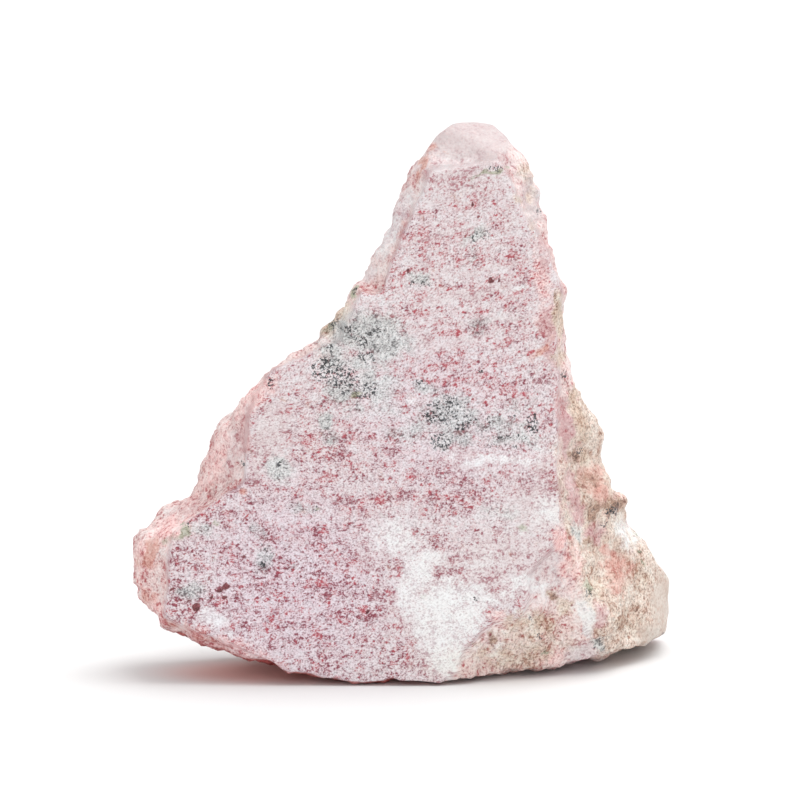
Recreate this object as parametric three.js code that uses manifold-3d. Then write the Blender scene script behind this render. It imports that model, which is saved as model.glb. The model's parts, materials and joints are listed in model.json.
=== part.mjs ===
// Tugtupite: one rough broken stone with a single sawn face.
//
// The stone stands on a small flat base. Millimetres, +Z up, +X to the right of the
// sawn face, which looks towards -Y. The origin is under the middle of the stone.
//
// How it is made: the stone's profile is swept from front to back, then chips are
// broken off it. A chip is whatever lies outside all the faces that bound it, so a
// chip with one face leaves a plain facet and a chip with two faces leaves a ledge.
// Shell-shaped breaks follow on the back, and last the broken skin gets its swells,
// pits and bumps.

import * as THREE from 'three';
import { ImprovedNoise } from 'three/addons/math/ImprovedNoise.js';
import { TessellateModifier } from 'three/addons/modifiers/TessellateModifier.js';
import { mergeVertices } from 'three/addons/utils/BufferGeometryUtils.js';
import Module from 'manifold-3d';

const wasm = await Module();
wasm.setup();

// ---------- Driving dimensions ----------

const SIGHT_TILT_DEG = 10; // the profile is the one seen from this far above level
const SWEEP_FRONT = -8; // where the sweep starts, in front of the sawn face
const SWEEP_LENGTH = 44; // from there to well behind the stone
const SWEEP_CELLS = 24;
const SAW_LEAN_DEG = 4; // the sawn face leans back by this much
const SAW_STEP_HEIGHT = 22; // the blade changed course at this height on the sawn face
const SAW_DRIFT_DEG = 1.2; // and cut this much deeper to the right above it
const SAW_DRIFT_START = -2; // starting from here
const CHIP_REACH = 120; // a chip's bounding face is this wide
const CHIP_CELLS = 66; // and is divided into this many cells each way, for an even skin
const SHELL_DETAIL = 5; // how finely a shell-shaped break is rounded
const SKIN_EDGE = 3; // longest triangle edge on the finished skin
const SKIN_PASSES = 14;
const WELD_GRID = 512; // corners are set on a grid of 1/512 mm before the skin is split
const BUMP_SIZE = 4.4; // width of the coarse bumps of the broken skin
const BUMP_HEIGHT = 0.6;
const GRIT_SIZE = 2.3; // width of the finer ones
const GRIT_HEIGHT = 0.24;
const CALM_DEPTH = 1.4; // bumps fade out over this distance from a flat face

// ---------- Profile of the stone, right-hand side first, [across, up] in mm ----------

const PROFILE = [
  // crown
  [2.9, 52.5], [4.9, 53.7], [6.4, 54.0], [8.5, 53.7], [9.6, 52.7], [10.3, 51.5], [11.5, 50.6],
  // right flank, down to the shelf above the foot
  [12.0, 48.8], [13.1, 46.9], [13.4, 45.3], [13.8, 41.1], [14.2, 39.0], [14.9, 38.0],
  [15.0, 35.5], [15.6, 34.2], [15.2, 31.0], [16.2, 28.4], [18.3, 25.9], [19.0, 24.2],
  [18.9, 21.5], [19.5, 19.0], [21.6, 17.8],
  // right foot
  [22.2, 15.6], [23.7, 12.5], [25.9, 9.8], [25.8, 7.3], [25.4, 4.8], [23.0, 3.5], [21.1, 3.3],
  // lower edge, right to left
  [17.7, 2.4], [15.2, 1.8], [11.8, 1.5], [7.3, 0.8], [6.4, 1.05], [3.4, 0.3], [-1.3, 0.6],
  [-3.9, 0.3], [-7.0, 0.7], [-9.8, 1.3], [-14.1, 2.3], [-17.1, 3.3], [-20.5, 4.3], [-23.6, 6.0],
  // left tip
  [-23.4, 6.4], [-25.4, 8.4], [-25.2, 10.1], [-25.7, 10.4], [-25.6, 14.1], [-23.6, 16.1],
  // left shoulder
  [-22.0, 17.6], [-21.0, 17.8], [-20.5, 19.9], [-18.5, 24.1], [-14.1, 28.8], [-10.6, 31.4],
  [-7.7, 33.3], [-8.0, 33.8],
  // left flank, up to the crown
  [-5.3, 36.8], [-5.0, 37.8], [-2.2, 41.9], [-0.6, 45.9], [0.6, 49.3], [1.9, 51.4],
];

// ---------- Chips: each is bounded by faces {through, facing} ----------

const lean = THREE.MathUtils.degToRad(SAW_LEAN_DEG);
const drift = THREE.MathUtils.degToRad(SAW_DRIFT_DEG);
const SAWN_FACE = { through: [0, 0, 0], facing: [0, -Math.cos(lean), Math.sin(lean)] };
const DRIFTED_FACE = {
  through: [SAW_DRIFT_START, SAW_STEP_HEIGHT * Math.tan(lean), SAW_STEP_HEIGHT],
  facing: [Math.tan(drift), -Math.cos(lean), Math.sin(lean)],
};
const BASE_FACE = { through: [0, 0, 0], facing: [0, 0, -1] };

const FRONT_CHIPS = [
  // the blade changed course: above this step the sawn face drifts back to the right
  [DRIFTED_FACE, { through: [6, 1.5, SAW_STEP_HEIGHT], facing: [0.02, -0.3, 1] }],
  // rounded rough crown above the saw cut
  [{ through: [5, 3.3, 48.9], facing: [-0.1, -0.8, 0.6] }],
  [{ through: [7, 5.6, 51.9], facing: [0.2, -0.45, 0.87] }],
  [{ through: [10, 4.2, 49.4], facing: [0.62, -0.5, 0.6] }],
  // bevel down the upper right edge
  [{ through: [11.6, 3.1, 44.6], facing: [0.72, -0.62, 0.39] }],
  // long pale bevel down the upper left edge, ending above the knob
  [
    { through: [0.5, 3.1, 44.2], facing: [-0.75, -0.6, 0.35] },
    { through: [-3.2, 3, 37.8], facing: [0.35, 0, 0.94] },
  ],
  // hollow in front of the knob, ending on the shoulder
  [
    { through: [-4.9, 2.5, 35], facing: [-0.62, -0.6, 0.27] },
    { through: [-7, 3, 33.2], facing: [0.1, -0.2, 1] },
  ],
  // thin break along the shoulder's upper edge
  [
    { through: [-10.2, 2.2, 31.2], facing: [-0.4, -0.5, 0.76] },
    { through: [-6.6, 2.2, 33], facing: [-1, 0, 0.2] },
  ],
  // left facet, which turns away behind a soft ridge and ends on the ledge of the left lump
  [
    { through: [-15.1, 1.6, 22.5], facing: [-0.75, -0.65, 0.16] },
    { through: [-18, 1.3, 17.7], facing: [-0.58, -0.2, 0.79] },
  ],
  // upper end of the same facet
  [
    { through: [-13.5, 1.9, 27.7], facing: [-0.6, -0.7, 0.36] },
    { through: [-14, 2, 24], facing: [0, 0, 1] },
  ],
  // front of the left lump
  [{ through: [-22.4, 0.9, 11], facing: [-0.72, -0.69, 0.1] }],
  // red lower left edge
  [{ through: [-19.5, 0.5, 5.4], facing: [-0.36, -0.55, -0.75] }],
  // right-hand wall beside the saw cut, and the granular face behind it
  [
    { through: [14.5, 2, 27], facing: [0.88, -0.47, 0.05] },
    { through: [16, 4.4, 22], facing: [0.82, -0.574, 0.1] },
  ],
  // big rough chip off the lower right corner
  [{ through: [15.4, 1.1, 16.5], facing: [0.372, -0.9, -0.22] }],
  // clean pale break at the right tip
  [{ through: [25.4, 14, 8.5], facing: [0.93, -0.34, -0.05] }],
];

const BACK_CHIPS = [
  // broad back
  [{ through: [-2.7, 19.8, 18.3], facing: [-0.03, 0.99, 0.16] }],
  // back of the crown
  [{ through: [5.8, 12.3, 49.2], facing: [-0.1, 0.8, 0.59] }],
  // left back, from the left tip and the left flank to the broad back
  [
    { through: [-20.6, 14.3, 11.5], facing: [-0.55, 0.72, 0.43] },
    { through: [-20, 12, 18], facing: [-0.3, -0.1, -1] },
  ],
  [
    { through: [-13.4, 13, 21], facing: [-0.54, 0.7, 0.46] },
    { through: [-4, 12, 38], facing: [0.2, 0.2, -1] },
  ],
  [
    { through: [0.3, 10.3, 42.8], facing: [-0.61, 0.74, 0.28] },
    { through: [-7, 10, 33], facing: [-0.25, 0.3, 1] },
  ],
  // right back, from the right flank to the broad back
  [
    { through: [12.5, 10.7, 39.1], facing: [0.76, 0.61, 0.21] },
    { through: [14, 12, 29], facing: [0.2, 0.2, 1] },
  ],
  [
    { through: [15.8, 14.7, 23], facing: [0.69, 0.61, 0.39] },
    { through: [14, 12, 34], facing: [0.1, 0, -1] },
    { through: [20, 14, 13], facing: [0, 0.1, 1] },
  ],
  [
    { through: [21.6, 18.3, 10.5], facing: [0.59, 0.62, 0.51] },
    { through: [20, 14, 19], facing: [0, 0.1, -1] },
  ],
  // step across the back where a slab came off
  [
    { through: [3, 17.3, 28], facing: [0.2, 0.96, 0.12] },
    { through: [3, 18, 20.5], facing: [0.12, 0.3, 0.95] },
  ],
  // notch low on the back, left of the middle
  [
    { through: [-8, 18.4, 9], facing: [-0.28, 0.95, -0.14] },
    { through: [-8, 19, 12.5], facing: [-0.3, 0.15, -0.94] },
  ],
];

const UNDER_CHIPS = [
  [BASE_FACE],
  // the left side is undercut up to the left tip
  [{ through: [-12, 10, 0.9], facing: [-0.33, 0.02, -0.94] }],
  [{ through: [-22, 9, 5.4], facing: [-0.5, 0.2, -0.84] }],
  // the right foot lifts a little off the ground
  [{ through: [19.5, 12, 0.2], facing: [0.26, -0.12, -0.94] }],
  // and so does the back
  [{ through: [0, 19, 0.8], facing: [-0.05, 0.42, -0.9] }],
];

// ---------- Shell-shaped breaks on the back: big shallow dishes {at, radius} ----------

const SHELL_BREAKS = [
  { at: [17, 21, 36], radius: 11 },
  { at: [-20.4, 19, 25.2], radius: 11.5 },
  { at: [-2, 30.5, 29], radius: 13 },
  { at: [1, 33, 9], radius: 13 },
];

// ---------- Swells of the broken skin {at, reach, move}: smooth lumps and pits ----------

const SWELLS = [
  // knob behind the upper left edge
  { at: [-6.2, 4.5, 35.2], reach: 3.2, move: [-0.2, -1.3, 0.2] },
  // granular bulge on the right flank, and the shelf under it
  { at: [17, 6.5, 25], reach: 4.5, move: [0.3, -1.5, 0] },
  { at: [19, 8.5, 17], reach: 4, move: [0.3, -1.4, -0.2] },
  { at: [22.5, 11.5, 14], reach: 3.4, move: [-0.4, 1.2, 0] },
  // left lump, and the pit between it and the left facet
  { at: [-24, 4.5, 12.5], reach: 4, move: [-0.3, -1.2, 0] },
  { at: [-19.5, 3, 18], reach: 3.6, move: [0.5, 1.3, -0.3] },
  // swells and pits of the big lower right chip
  { at: [11, 1.6, 7], reach: 5, move: [0.3, -1.1, 0.2] },
  { at: [14.4, 3.4, 11], reach: 2.6, move: [0, 0.9, 0] },
  { at: [18.6, 7, 6], reach: 4, move: [0.5, -1.2, 0] },
  { at: [7, 1.4, 2.5], reach: 2.6, move: [0, 0.6, 0.2] },
  // swells on the back
  { at: [9, 19.5, 12], reach: 6.5, move: [0.3, 1.6, 0] },
  { at: [-6, 17, 28], reach: 6, move: [-0.4, 1.5, 0] },
  { at: [-19, 14, 14], reach: 5, move: [-0.8, 1, 0.3] },
  { at: [4, 13.5, 44], reach: 4.6, move: [0, 1, 0.4] },
];

// ---------- Tools of the making ----------

/** Turns a closed geometry into a solid that can be cut and joined. */
function solidOf(geometry) {
  const bare = geometry.clone();
  bare.deleteAttribute('normal');
  bare.deleteAttribute('uv');
  const merged = mergeVertices(bare, 1e-4);
  const mesh = new wasm.Mesh({
    numProp: 3,
    vertProperties: new Float32Array(merged.attributes.position.array),
    triVerts: new Uint32Array(merged.index.array),
  });
  return new wasm.Manifold(mesh);
}

/** Gives a solid's triangles back as a geometry. */
function geometryOf(solid) {
  const mesh = solid.getMesh();
  const geometry = new THREE.BufferGeometry();
  geometry.setAttribute('position', new THREE.Float32BufferAttribute(mesh.vertProperties, 3));
  geometry.setIndex([...mesh.triVerts]);
  return geometry;
}

/** Everything outside one face: a slab that lies on the face and reaches away from it. */
function outside({ through, facing }) {
  const sides = [CHIP_REACH, CHIP_REACH, CHIP_REACH];
  const slab = new THREE.BoxGeometry(...sides, CHIP_CELLS, CHIP_CELLS, 1);
  slab.translate(0, 0, CHIP_REACH / 2);
  const away = new THREE.Vector3(...facing).normalize();
  const turn = new THREE.Quaternion().setFromUnitVectors(new THREE.Vector3(0, 0, 1), away);
  slab.applyQuaternion(turn);
  slab.translate(...through);
  return solidOf(slab);
}

/** Breaks a chip off the stone: what lies outside every face of the chip. */
function breakOff(stone, faces) {
  const chip = faces.map(outside).reduce((all, one) => all.intersect(one));
  return stone.subtract(chip);
}

/** The ball whose near side leaves a shell-shaped hollow in the stone. */
function shellBreak({ at, radius }) {
  const ball = new THREE.IcosahedronGeometry(radius, SHELL_DETAIL);
  ball.translate(...at);
  return solidOf(ball);
}

/** The profile swept back along the line of sight that it is seen on. */
function sweptProfile() {
  const outline = new THREE.Shape(PROFILE.map(([across, up]) => new THREE.Vector2(across, up)));
  const sweep = new THREE.ExtrudeGeometry(outline, {
    depth: SWEEP_LENGTH,
    steps: SWEEP_CELLS,
    bevelEnabled: false,
  });
  sweep.translate(0, 0, -SWEEP_FRONT - SWEEP_LENGTH);
  sweep.rotateX(THREE.MathUtils.degToRad(90 - SIGHT_TILT_DEG));
  return solidOf(sweep);
}

/** How far a point lies behind a flat face. */
function depthBehind(point, { through, facing }) {
  const away = new THREE.Vector3(...facing).normalize();
  return -away.dot(point.clone().sub(new THREE.Vector3(...through)));
}

const noise = new ImprovedNoise();

/** A smooth push that depends on place alone, up to about `height` each way. */
function bump(point, size, height, seed) {
  const [x, y, z] = [point.x / size, point.y / size, point.z / size];
  return new THREE.Vector3(
    noise.noise(x + seed, y, z),
    noise.noise(x, y + seed, z),
    noise.noise(x, y, z + seed),
  ).multiplyScalar(height);
}

/** The push of one swell, which fades to nothing at its reach. */
function swell(point, { at, reach, move }) {
  const away = point.distanceTo(new THREE.Vector3(...at)) / reach;
  const fade = away < 1 ? (1 - away * away) ** 2 : 0;
  return new THREE.Vector3(...move).multiplyScalar(fade);
}

/** How far a point of the broken skin moves. A flat face stays flat. */
function relief(point) {
  const move = bump(point, BUMP_SIZE, BUMP_HEIGHT, 17.3);
  move.add(bump(point, GRIT_SIZE, GRIT_HEIGHT, 5.9));
  SWELLS.forEach((one) => move.add(swell(point, one)));
  for (const face of [SAWN_FACE, BASE_FACE]) {
    const away = new THREE.Vector3(...face.facing).normalize();
    const calm = 1 - THREE.MathUtils.smoothstep(depthBehind(point, face), 0, CALM_DEPTH);
    move.addScaledVector(away, -calm * move.dot(away));
  }
  return move;
}

/** Splits the skin into small triangles and gives it its relief. */
function roughened(geometry) {
  const loose = geometry.toNonIndexed();
  loose.attributes.position.array.forEach((value, i, all) => {
    all[i] = Math.round(value * WELD_GRID) / WELD_GRID;
  });
  const split = new TessellateModifier(SKIN_EDGE, SKIN_PASSES).modify(loose);
  const skin = mergeVertices(split, 1e-4);
  const corners = skin.attributes.position;
  const point = new THREE.Vector3();
  for (let i = 0; i < corners.count; i += 1) {
    point.fromBufferAttribute(corners, i);
    point.add(relief(point));
    corners.setXYZ(i, point.x, point.y, point.z);
  }
  return skin;
}

// ---------- The stone ----------

function makeStone() {
  const chips = [[SAWN_FACE], ...FRONT_CHIPS, ...BACK_CHIPS, ...UNDER_CHIPS];
  let stone = chips.reduce(breakOff, sweptProfile());
  stone = SHELL_BREAKS.map(shellBreak).reduce((all, ball) => all.subtract(ball), stone);
  const geometry = roughened(geometryOf(stone));
  geometry.computeBoundingBox();
  const box = geometry.boundingBox;
  geometry.translate(-(box.min.x + box.max.x) / 2, -(box.min.y + box.max.y) / 2, 0);
  geometry.computeVertexNormals();
  return geometry;
}

const stoneSurface = new THREE.MeshStandardMaterial({
  color: 0xe3c8cf,
  roughness: 0.75,
  metalness: 0,
});

const stone = new THREE.Mesh(makeStone(), stoneSurface);
stone.name = 'tugtupite_stone';

const group = new THREE.Group();
group.add(stone);

export default group;
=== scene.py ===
"""A tugtupite stone: its broken and sawn skin, the minerals in it, and the studio around it.

Sizes are in millimetres and become metres where Blender takes them. The sawn face looks
towards -Y. A place on the stone is told by `across`, `up` and `behind`: across is +X, up is
the height as seen from a little above level, and behind is the distance back from the
foot of the sawn face.
"""

import json
import logging
import math
from dataclasses import dataclass
from enum import Enum
from typing import Any, Optional, Sequence, Union

import bpy
import numpy as np
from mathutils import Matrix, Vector

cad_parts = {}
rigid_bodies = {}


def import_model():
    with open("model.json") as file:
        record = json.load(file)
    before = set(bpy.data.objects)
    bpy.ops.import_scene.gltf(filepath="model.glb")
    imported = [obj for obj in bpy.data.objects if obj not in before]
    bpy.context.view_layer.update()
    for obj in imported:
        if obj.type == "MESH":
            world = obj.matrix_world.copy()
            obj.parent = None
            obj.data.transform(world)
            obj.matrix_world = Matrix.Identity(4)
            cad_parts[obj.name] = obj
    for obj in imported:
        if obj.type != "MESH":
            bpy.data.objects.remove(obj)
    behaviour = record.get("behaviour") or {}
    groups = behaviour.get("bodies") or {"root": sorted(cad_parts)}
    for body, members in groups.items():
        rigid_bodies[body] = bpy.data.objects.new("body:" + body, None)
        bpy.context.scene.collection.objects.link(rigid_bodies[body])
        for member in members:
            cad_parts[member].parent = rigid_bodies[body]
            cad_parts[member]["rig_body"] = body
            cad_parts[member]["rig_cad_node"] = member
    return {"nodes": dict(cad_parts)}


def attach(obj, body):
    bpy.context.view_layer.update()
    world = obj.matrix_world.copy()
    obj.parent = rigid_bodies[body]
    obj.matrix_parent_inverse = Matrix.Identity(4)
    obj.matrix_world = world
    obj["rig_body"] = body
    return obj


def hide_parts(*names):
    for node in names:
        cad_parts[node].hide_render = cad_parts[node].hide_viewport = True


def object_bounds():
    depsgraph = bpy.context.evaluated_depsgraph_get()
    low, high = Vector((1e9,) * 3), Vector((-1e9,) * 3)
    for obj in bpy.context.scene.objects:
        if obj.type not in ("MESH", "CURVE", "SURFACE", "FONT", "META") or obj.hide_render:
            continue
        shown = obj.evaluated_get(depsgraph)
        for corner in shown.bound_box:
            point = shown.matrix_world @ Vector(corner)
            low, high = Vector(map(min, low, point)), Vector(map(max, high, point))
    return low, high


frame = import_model()
cad_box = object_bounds()

MM = 0.001
SIGHT_TILT = math.radians(10.0)
STONE_NODE = "tugtupite_stone"

log = logging.getLogger("tugtupite")

Colour = tuple[float, float, float]
Term = Union["Socket", float, Sequence[float]]
Pair = tuple[float, float]
Triple = tuple[float, float, float]


def linear(red: int, green: int, blue: int) -> Colour:
    """Turns a colour as a screen shows it into the linear values of a shader, by the sRGB curve.

    Args:
        red: its red, 0 to 255.
        green: its green, 0 to 255.
        blue: its blue, 0 to 255.

    Returns:
        The linear colour, each part from 0 to 1.
    """
    return tuple(
        part / 12.92 if part <= 0.04045 else ((part + 0.055) / 1.055) ** 2.4
        for part in (red / 255, green / 255, blue / 255)
    )


# ---------------------------------------------------------------- node trees as expressions


class Socket:
    """An output of a node, which Python's operators join into sums."""

    def __init__(self, sheet: "Sheet", link: bpy.types.NodeSocket) -> None:
        """Keeps the output and the sheet that it is on."""
        self.sheet = sheet
        self.link = link

    @property
    def is_vector(self) -> bool:
        """Whether the output is a vector."""
        return self.link.type == "VECTOR"

    def __add__(self, other: Term) -> "Socket":
        """self + other."""
        return self.sheet.sum("ADD", self, other)

    def __radd__(self, other: Term) -> "Socket":
        """other + self."""
        return self.sheet.sum("ADD", other, self)

    def __sub__(self, other: Term) -> "Socket":
        """self - other."""
        return self.sheet.sum("SUBTRACT", self, other)

    def __rsub__(self, other: Term) -> "Socket":
        """other - self."""
        return self.sheet.sum("SUBTRACT", other, self)

    def __mul__(self, other: Term) -> "Socket":
        """self * other."""
        return self.sheet.sum("MULTIPLY", self, other)

    def __rmul__(self, other: Term) -> "Socket":
        """other * self."""
        return self.sheet.sum("MULTIPLY", other, self)


class Sheet:
    """A node tree that is written as Python expressions."""

    def __init__(self, tree: bpy.types.NodeTree) -> None:
        """Starts with an empty tree.

        Args:
            tree: the material's or the modifier's node tree.
        """
        self.tree = tree
        tree.nodes.clear()

    def node(self, kind: str, settings: dict[str, Any], values: dict[str, Term]) -> bpy.types.Node:
        """Adds a node.

        Args:
            kind: the node's type.
            settings: what is set on the node itself, before its sockets.
            values: a number, a vector or another node's output for each socket, by the
                socket's identifier.

        Returns:
            The new node.
        """
        made = self.tree.nodes.new(kind)
        for name, setting in settings.items():
            setattr(made, name, setting)
        sockets = {socket.identifier: socket for socket in made.inputs}
        for name, value in values.items():
            if isinstance(value, Socket):
                self.tree.links.new(value.link, sockets[name])
            else:
                sockets[name].default_value = value
        return made

    def take(self, node: bpy.types.Node, output: str) -> Socket:
        """One output of a node, by its identifier."""
        return Socket(self, {socket.identifier: socket for socket in node.outputs}[output])

    def sum(self, operation: str, first: Term, second: Term) -> Socket:
        """Joins two terms by one step of arithmetic, on vectors if either is one.

        Args:
            operation: the Math node's operation.
            first: the first term.
            second: the second term.

        Returns:
            The result.
        """
        if any(isinstance(term, Socket) and term.is_vector for term in (first, second)):
            terms = [(term,) * 3 if isinstance(term, (int, float)) else term for term in (first, second)]
            values = {"Vector": terms[0], "Vector_001": terms[1]}
            made = self.node("ShaderNodeVectorMath", {"operation": operation}, values)
            return self.take(made, "Vector")
        values = {"Value": first, "Value_001": second}
        return self.take(self.node("ShaderNodeMath", {"operation": operation}, values), "Value")

    def length(self, vector: Socket) -> Socket:
        """The length of a vector."""
        made = self.node("ShaderNodeVectorMath", {"operation": "LENGTH"}, {"Vector": vector})
        return self.take(made, "Value")

    def dot(self, vector: Socket, axis: Sequence[float]) -> Socket:
        """How far a vector reaches along an axis."""
        values = {"Vector": vector, "Vector_001": axis}
        return self.take(self.node("ShaderNodeVectorMath", {"operation": "DOT_PRODUCT"}, values), "Value")

    def join(self, x: Term, y: Term, z: Term) -> Socket:
        """A vector of three values."""
        return self.take(self.node("ShaderNodeCombineXYZ", {}, {"X": x, "Y": y, "Z": z}), "Vector")

    def rise(self, value: Socket, low: float | Socket, high: float | Socket) -> Socket:
        """Climbs smoothly from 0 to 1, or falls where `low` is the higher of the two.

        Args:
            value: what it follows.
            low: the value where it is 0.
            high: the value where it is 1.

        Returns:
            The share, from 0 to 1.
        """
        values = {"Value": value, "From Min": low, "From Max": high}
        made = self.node("ShaderNodeMapRange", {"interpolation_type": "SMOOTHSTEP"}, values)
        return self.take(made, "Result")

    def blend(self, share: Term, first: Term, second: Term) -> Socket:
        """A mix of two vectors."""
        values = {"Factor_Float": share, "A_Vector": first, "B_Vector": second}
        return self.take(self.node("ShaderNodeMix", {"data_type": "VECTOR"}, values), "Result_Vector")

    def paint(self, share: Term, under: Term, over: Term) -> Socket:
        """A colour laid over another one.

        Args:
            share: how much of the upper colour shows.
            under: the lower colour.
            over: the upper colour.

        Returns:
            The colour that shows.
        """
        under, over = [(*term, 1.0) if isinstance(term, tuple) else term for term in (under, over)]
        values = {"Factor_Float": share, "A_Color": under, "B_Color": over}
        return self.take(self.node("ShaderNodeMix", {"data_type": "RGBA"}, values), "Result_Color")

    def tint(self, colour: Socket, light: Socket) -> Socket:
        """A colour made lighter or darker, or given a cast.

        Args:
            colour: the colour.
            light: what it is multiplied by.

        Returns:
            The new colour.
        """
        values = {"Factor_Float": 1.0, "A_Color": colour, "B_Color": light}
        made = self.node("ShaderNodeMix", {"data_type": "RGBA", "blend_type": "MULTIPLY"}, values)
        return self.take(made, "Result_Color")

    def noise(self, place: Socket, size: float, detail: float = 2.0, coarse: float = 0.5) -> Socket:
        """Soft noise around 0.5.

        Args:
            place: where it is read, in millimetres.
            size: the width of its lumps.
            detail: how many finer layers it has.
            coarse: how strong the finer layers are.

        Returns:
            The noise.
        """
        values = {"Vector": place, "Scale": 1 / size, "Detail": detail, "Roughness": coarse}
        return self.take(self.node("ShaderNodeTexNoise", {}, values), "Fac")

    def warp(self, place: Socket, size: float, reach: float) -> Socket:
        """A place moved about by noise, so that edges turn ragged.

        Args:
            place: the place.
            size: the width of the noise's lumps.
            reach: about how far they move it.

        Returns:
            The moved place.
        """
        made = self.node("ShaderNodeTexNoise", {}, {"Vector": place, "Scale": 1 / size, "Detail": 2.0})
        shift = self.node(
            "ShaderNodeVectorMath",
            {"operation": "SUBTRACT"},
            {"Vector": self.take(made, "Color"), "Vector_001": (0.5, 0.5, 0.5)},
        )
        return place + self.take(shift, "Vector") * (2 * reach)

    def grains(self, place: Socket, size: float) -> Socket:
        """The distance to the nearest grain's middle, in grain sizes."""
        made = self.node("ShaderNodeTexVoronoi", {}, {"Vector": place, "Scale": 1 / size})
        return self.take(made, "Distance")


# ---------------------------------------------------------------- where things are on the stone


@dataclass(frozen=True)
class SawnFace:
    """The flat face that the saw left.

    Attributes:
        lean: how far it leans back.
        step_height: where the blade changed course.
        step_half: half the height over which it did so.
        drift: how much deeper it cut to the right above that, for each millimetre across.
        drift_start: where across that begins.
        lines_low: the slope of the saw's lines low on the face.
        lines_high: their slope high on it.
        turn_low: the height where the slope begins to change.
        turn_high: the height where it has changed.
    """

    lean: float = math.radians(4.0)
    step_height: float = 22.0
    step_half: float = 0.4
    drift: float = math.tan(math.radians(1.2))
    drift_start: float = -2.0
    lines_low: float = math.tan(math.radians(3.0))
    lines_high: float = math.tan(math.radians(13.0))
    turn_low: float = 17.0
    turn_high: float = 36.0

    def depth(self, sheet: Sheet, place: Socket) -> Socket:
        """How far a place lies behind the sawn face.

        Args:
            sheet: the sheet to write on.
            place: across, behind and height above the base.

        Returns:
            The depth in millimetres.
        """
        plane = sheet.dot(place, (0.0, math.cos(self.lean), -math.sin(self.lean)))
        height = sheet.dot(place, (0, 0, 1))
        above = sheet.rise(height, self.step_height - self.step_half, self.step_height + self.step_half)
        drift = sheet.sum("MAXIMUM", sheet.dot(place, (1, 0, 0)) - self.drift_start, 0.0) * self.drift
        return plane - above * drift

    def line_place(self, sheet: Sheet, place: Socket) -> Socket:
        """A place told along and across the saw's lines.

        Args:
            sheet: the sheet to write on.
            place: across, behind and height above the base.

        Returns:
            The place along the lines, behind, and across the lines.
        """
        across = sheet.dot(place, (1, 0, 0))
        height = sheet.dot(place, (0, 0, 1))
        turned = sheet.rise(height, self.turn_low, self.turn_high)
        slope = turned * (self.lines_high - self.lines_low) + self.lines_low
        return sheet.join(across, sheet.dot(place, (0, 1, 0)), height - slope * across)


@dataclass(frozen=True)
class StoneFrame:
    """Turns Blender's places on the stone into millimetres from the foot of the sawn face.

    Attributes:
        front: where the foot of the sawn face is, in millimetres along Y.
    """

    front: float = cad_box[0][1] / MM

    def place(self, metres: Socket) -> Socket:
        """Across, behind and height above the base, in millimetres."""
        return metres * (1 / MM) - (0.0, self.front, 0.0)

    def sight(self, sheet: Sheet, place: Socket) -> Socket:
        """Across, up and behind, in millimetres."""
        up = sheet.dot(place, (0.0, math.sin(SIGHT_TILT), math.cos(SIGHT_TILT)))
        return sheet.join(sheet.dot(place, (1, 0, 0)), up, sheet.dot(place, (0, 1, 0)))


@dataclass(frozen=True)
class Layer:
    """One layer of soft noise.

    Attributes:
        size: the width of its lumps.
        depth: how far it moves what it is added to.
        detail: how many finer layers it has.
        coarse: how strong the finer layers are.
        seed: what sets it apart from the other layers, if it needs that.
    """

    size: float
    depth: float = 1.0
    detail: float = 2.0
    coarse: float = 0.5
    seed: Optional[Triple] = None

    def raw(self, sheet: Sheet, place: Socket) -> Socket:
        """The noise itself, around 0.5."""
        moved = place if self.seed is None else place + self.seed
        return sheet.noise(moved, self.size, self.detail, self.coarse)

    def read(self, sheet: Sheet, place: Socket) -> Socket:
        """The noise around 0, as deep as the layer is."""
        return (self.raw(sheet, place) - 0.5) * self.depth


SAWN = SawnFace()
STONE_FRAME = StoneFrame()


@dataclass(frozen=True)
class Patch:
    """A soft-edged egg of one mineral or stain.

    Attributes:
        across: its middle, to the right.
        up: its middle, up.
        half_width: half its width.
        half_height: half its height.
        turn: how far it is turned anticlockwise, in degrees.
        share: how strong it is in the middle.
        behind: its middle, back from the foot of the sawn face.
        half_depth: half its depth.
        faint: where it ends, in half sizes.
        full: where it reaches its share, in half sizes.
    """

    across: float
    up: float
    half_width: float
    half_height: float
    turn: float = 0.0
    share: float = 1.0
    behind: float = 2.0
    half_depth: float = 6.0
    faint: float = 1.5
    full: float = 0.3

    def mask(self, sight: np.ndarray) -> np.ndarray:
        """Where the patch is, from 0 to its share.

        Args:
            sight: each point's across, up and behind.

        Returns:
            The mask of each point.
        """
        away = sight - (self.across, self.up, self.behind)
        turn = math.radians(self.turn)
        along = (away[:, 0] * math.cos(turn) + away[:, 1] * math.sin(turn)) / self.half_width
        athwart = (away[:, 1] * math.cos(turn) - away[:, 0] * math.sin(turn)) / self.half_height
        distance = np.sqrt(along**2 + athwart**2 + (away[:, 2] / self.half_depth) ** 2)
        inside = np.clip((self.faint - distance) / (self.faint - self.full), 0.0, 1.0)
        return self.share * inside * inside * (3.0 - 2.0 * inside)


def patches(*rows: tuple[float, ...]) -> list[Patch]:
    """One patch for each row of a patch's values."""
    return [Patch(*row) for row in rows]


# ---------------------------------------------------------------- the stone's minerals


class Mineral(Enum):
    """What the grains of the stone are. Later ones lie over earlier ones."""

    LILAC = "lilac cast"
    WARM = "warm cast"
    CRIMSON = "crimson tugtupite"
    PALE = "pale, almost bare rock"
    BUFF = "buff broken face"
    CROWN = "clear pale crown"
    PEACH = "peach broken face"
    ROSE = "rose skin of a break"
    SALMON = "salmon stain"
    TAN = "tan stain"
    BROWN = "brown stain"
    WHITE = "white albite"
    GREY = "grey sodalite"
    OLIVE = "olive stain"
    CLEAR = "clear peach break"
    BLACK = "black aegirine"
    GARNET = "dark red grain"
    # Deep red on faces that look down: partly a guessed crimson underside, partly painted shade under the
    # stone.
    RED = "deep red underside"


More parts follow.
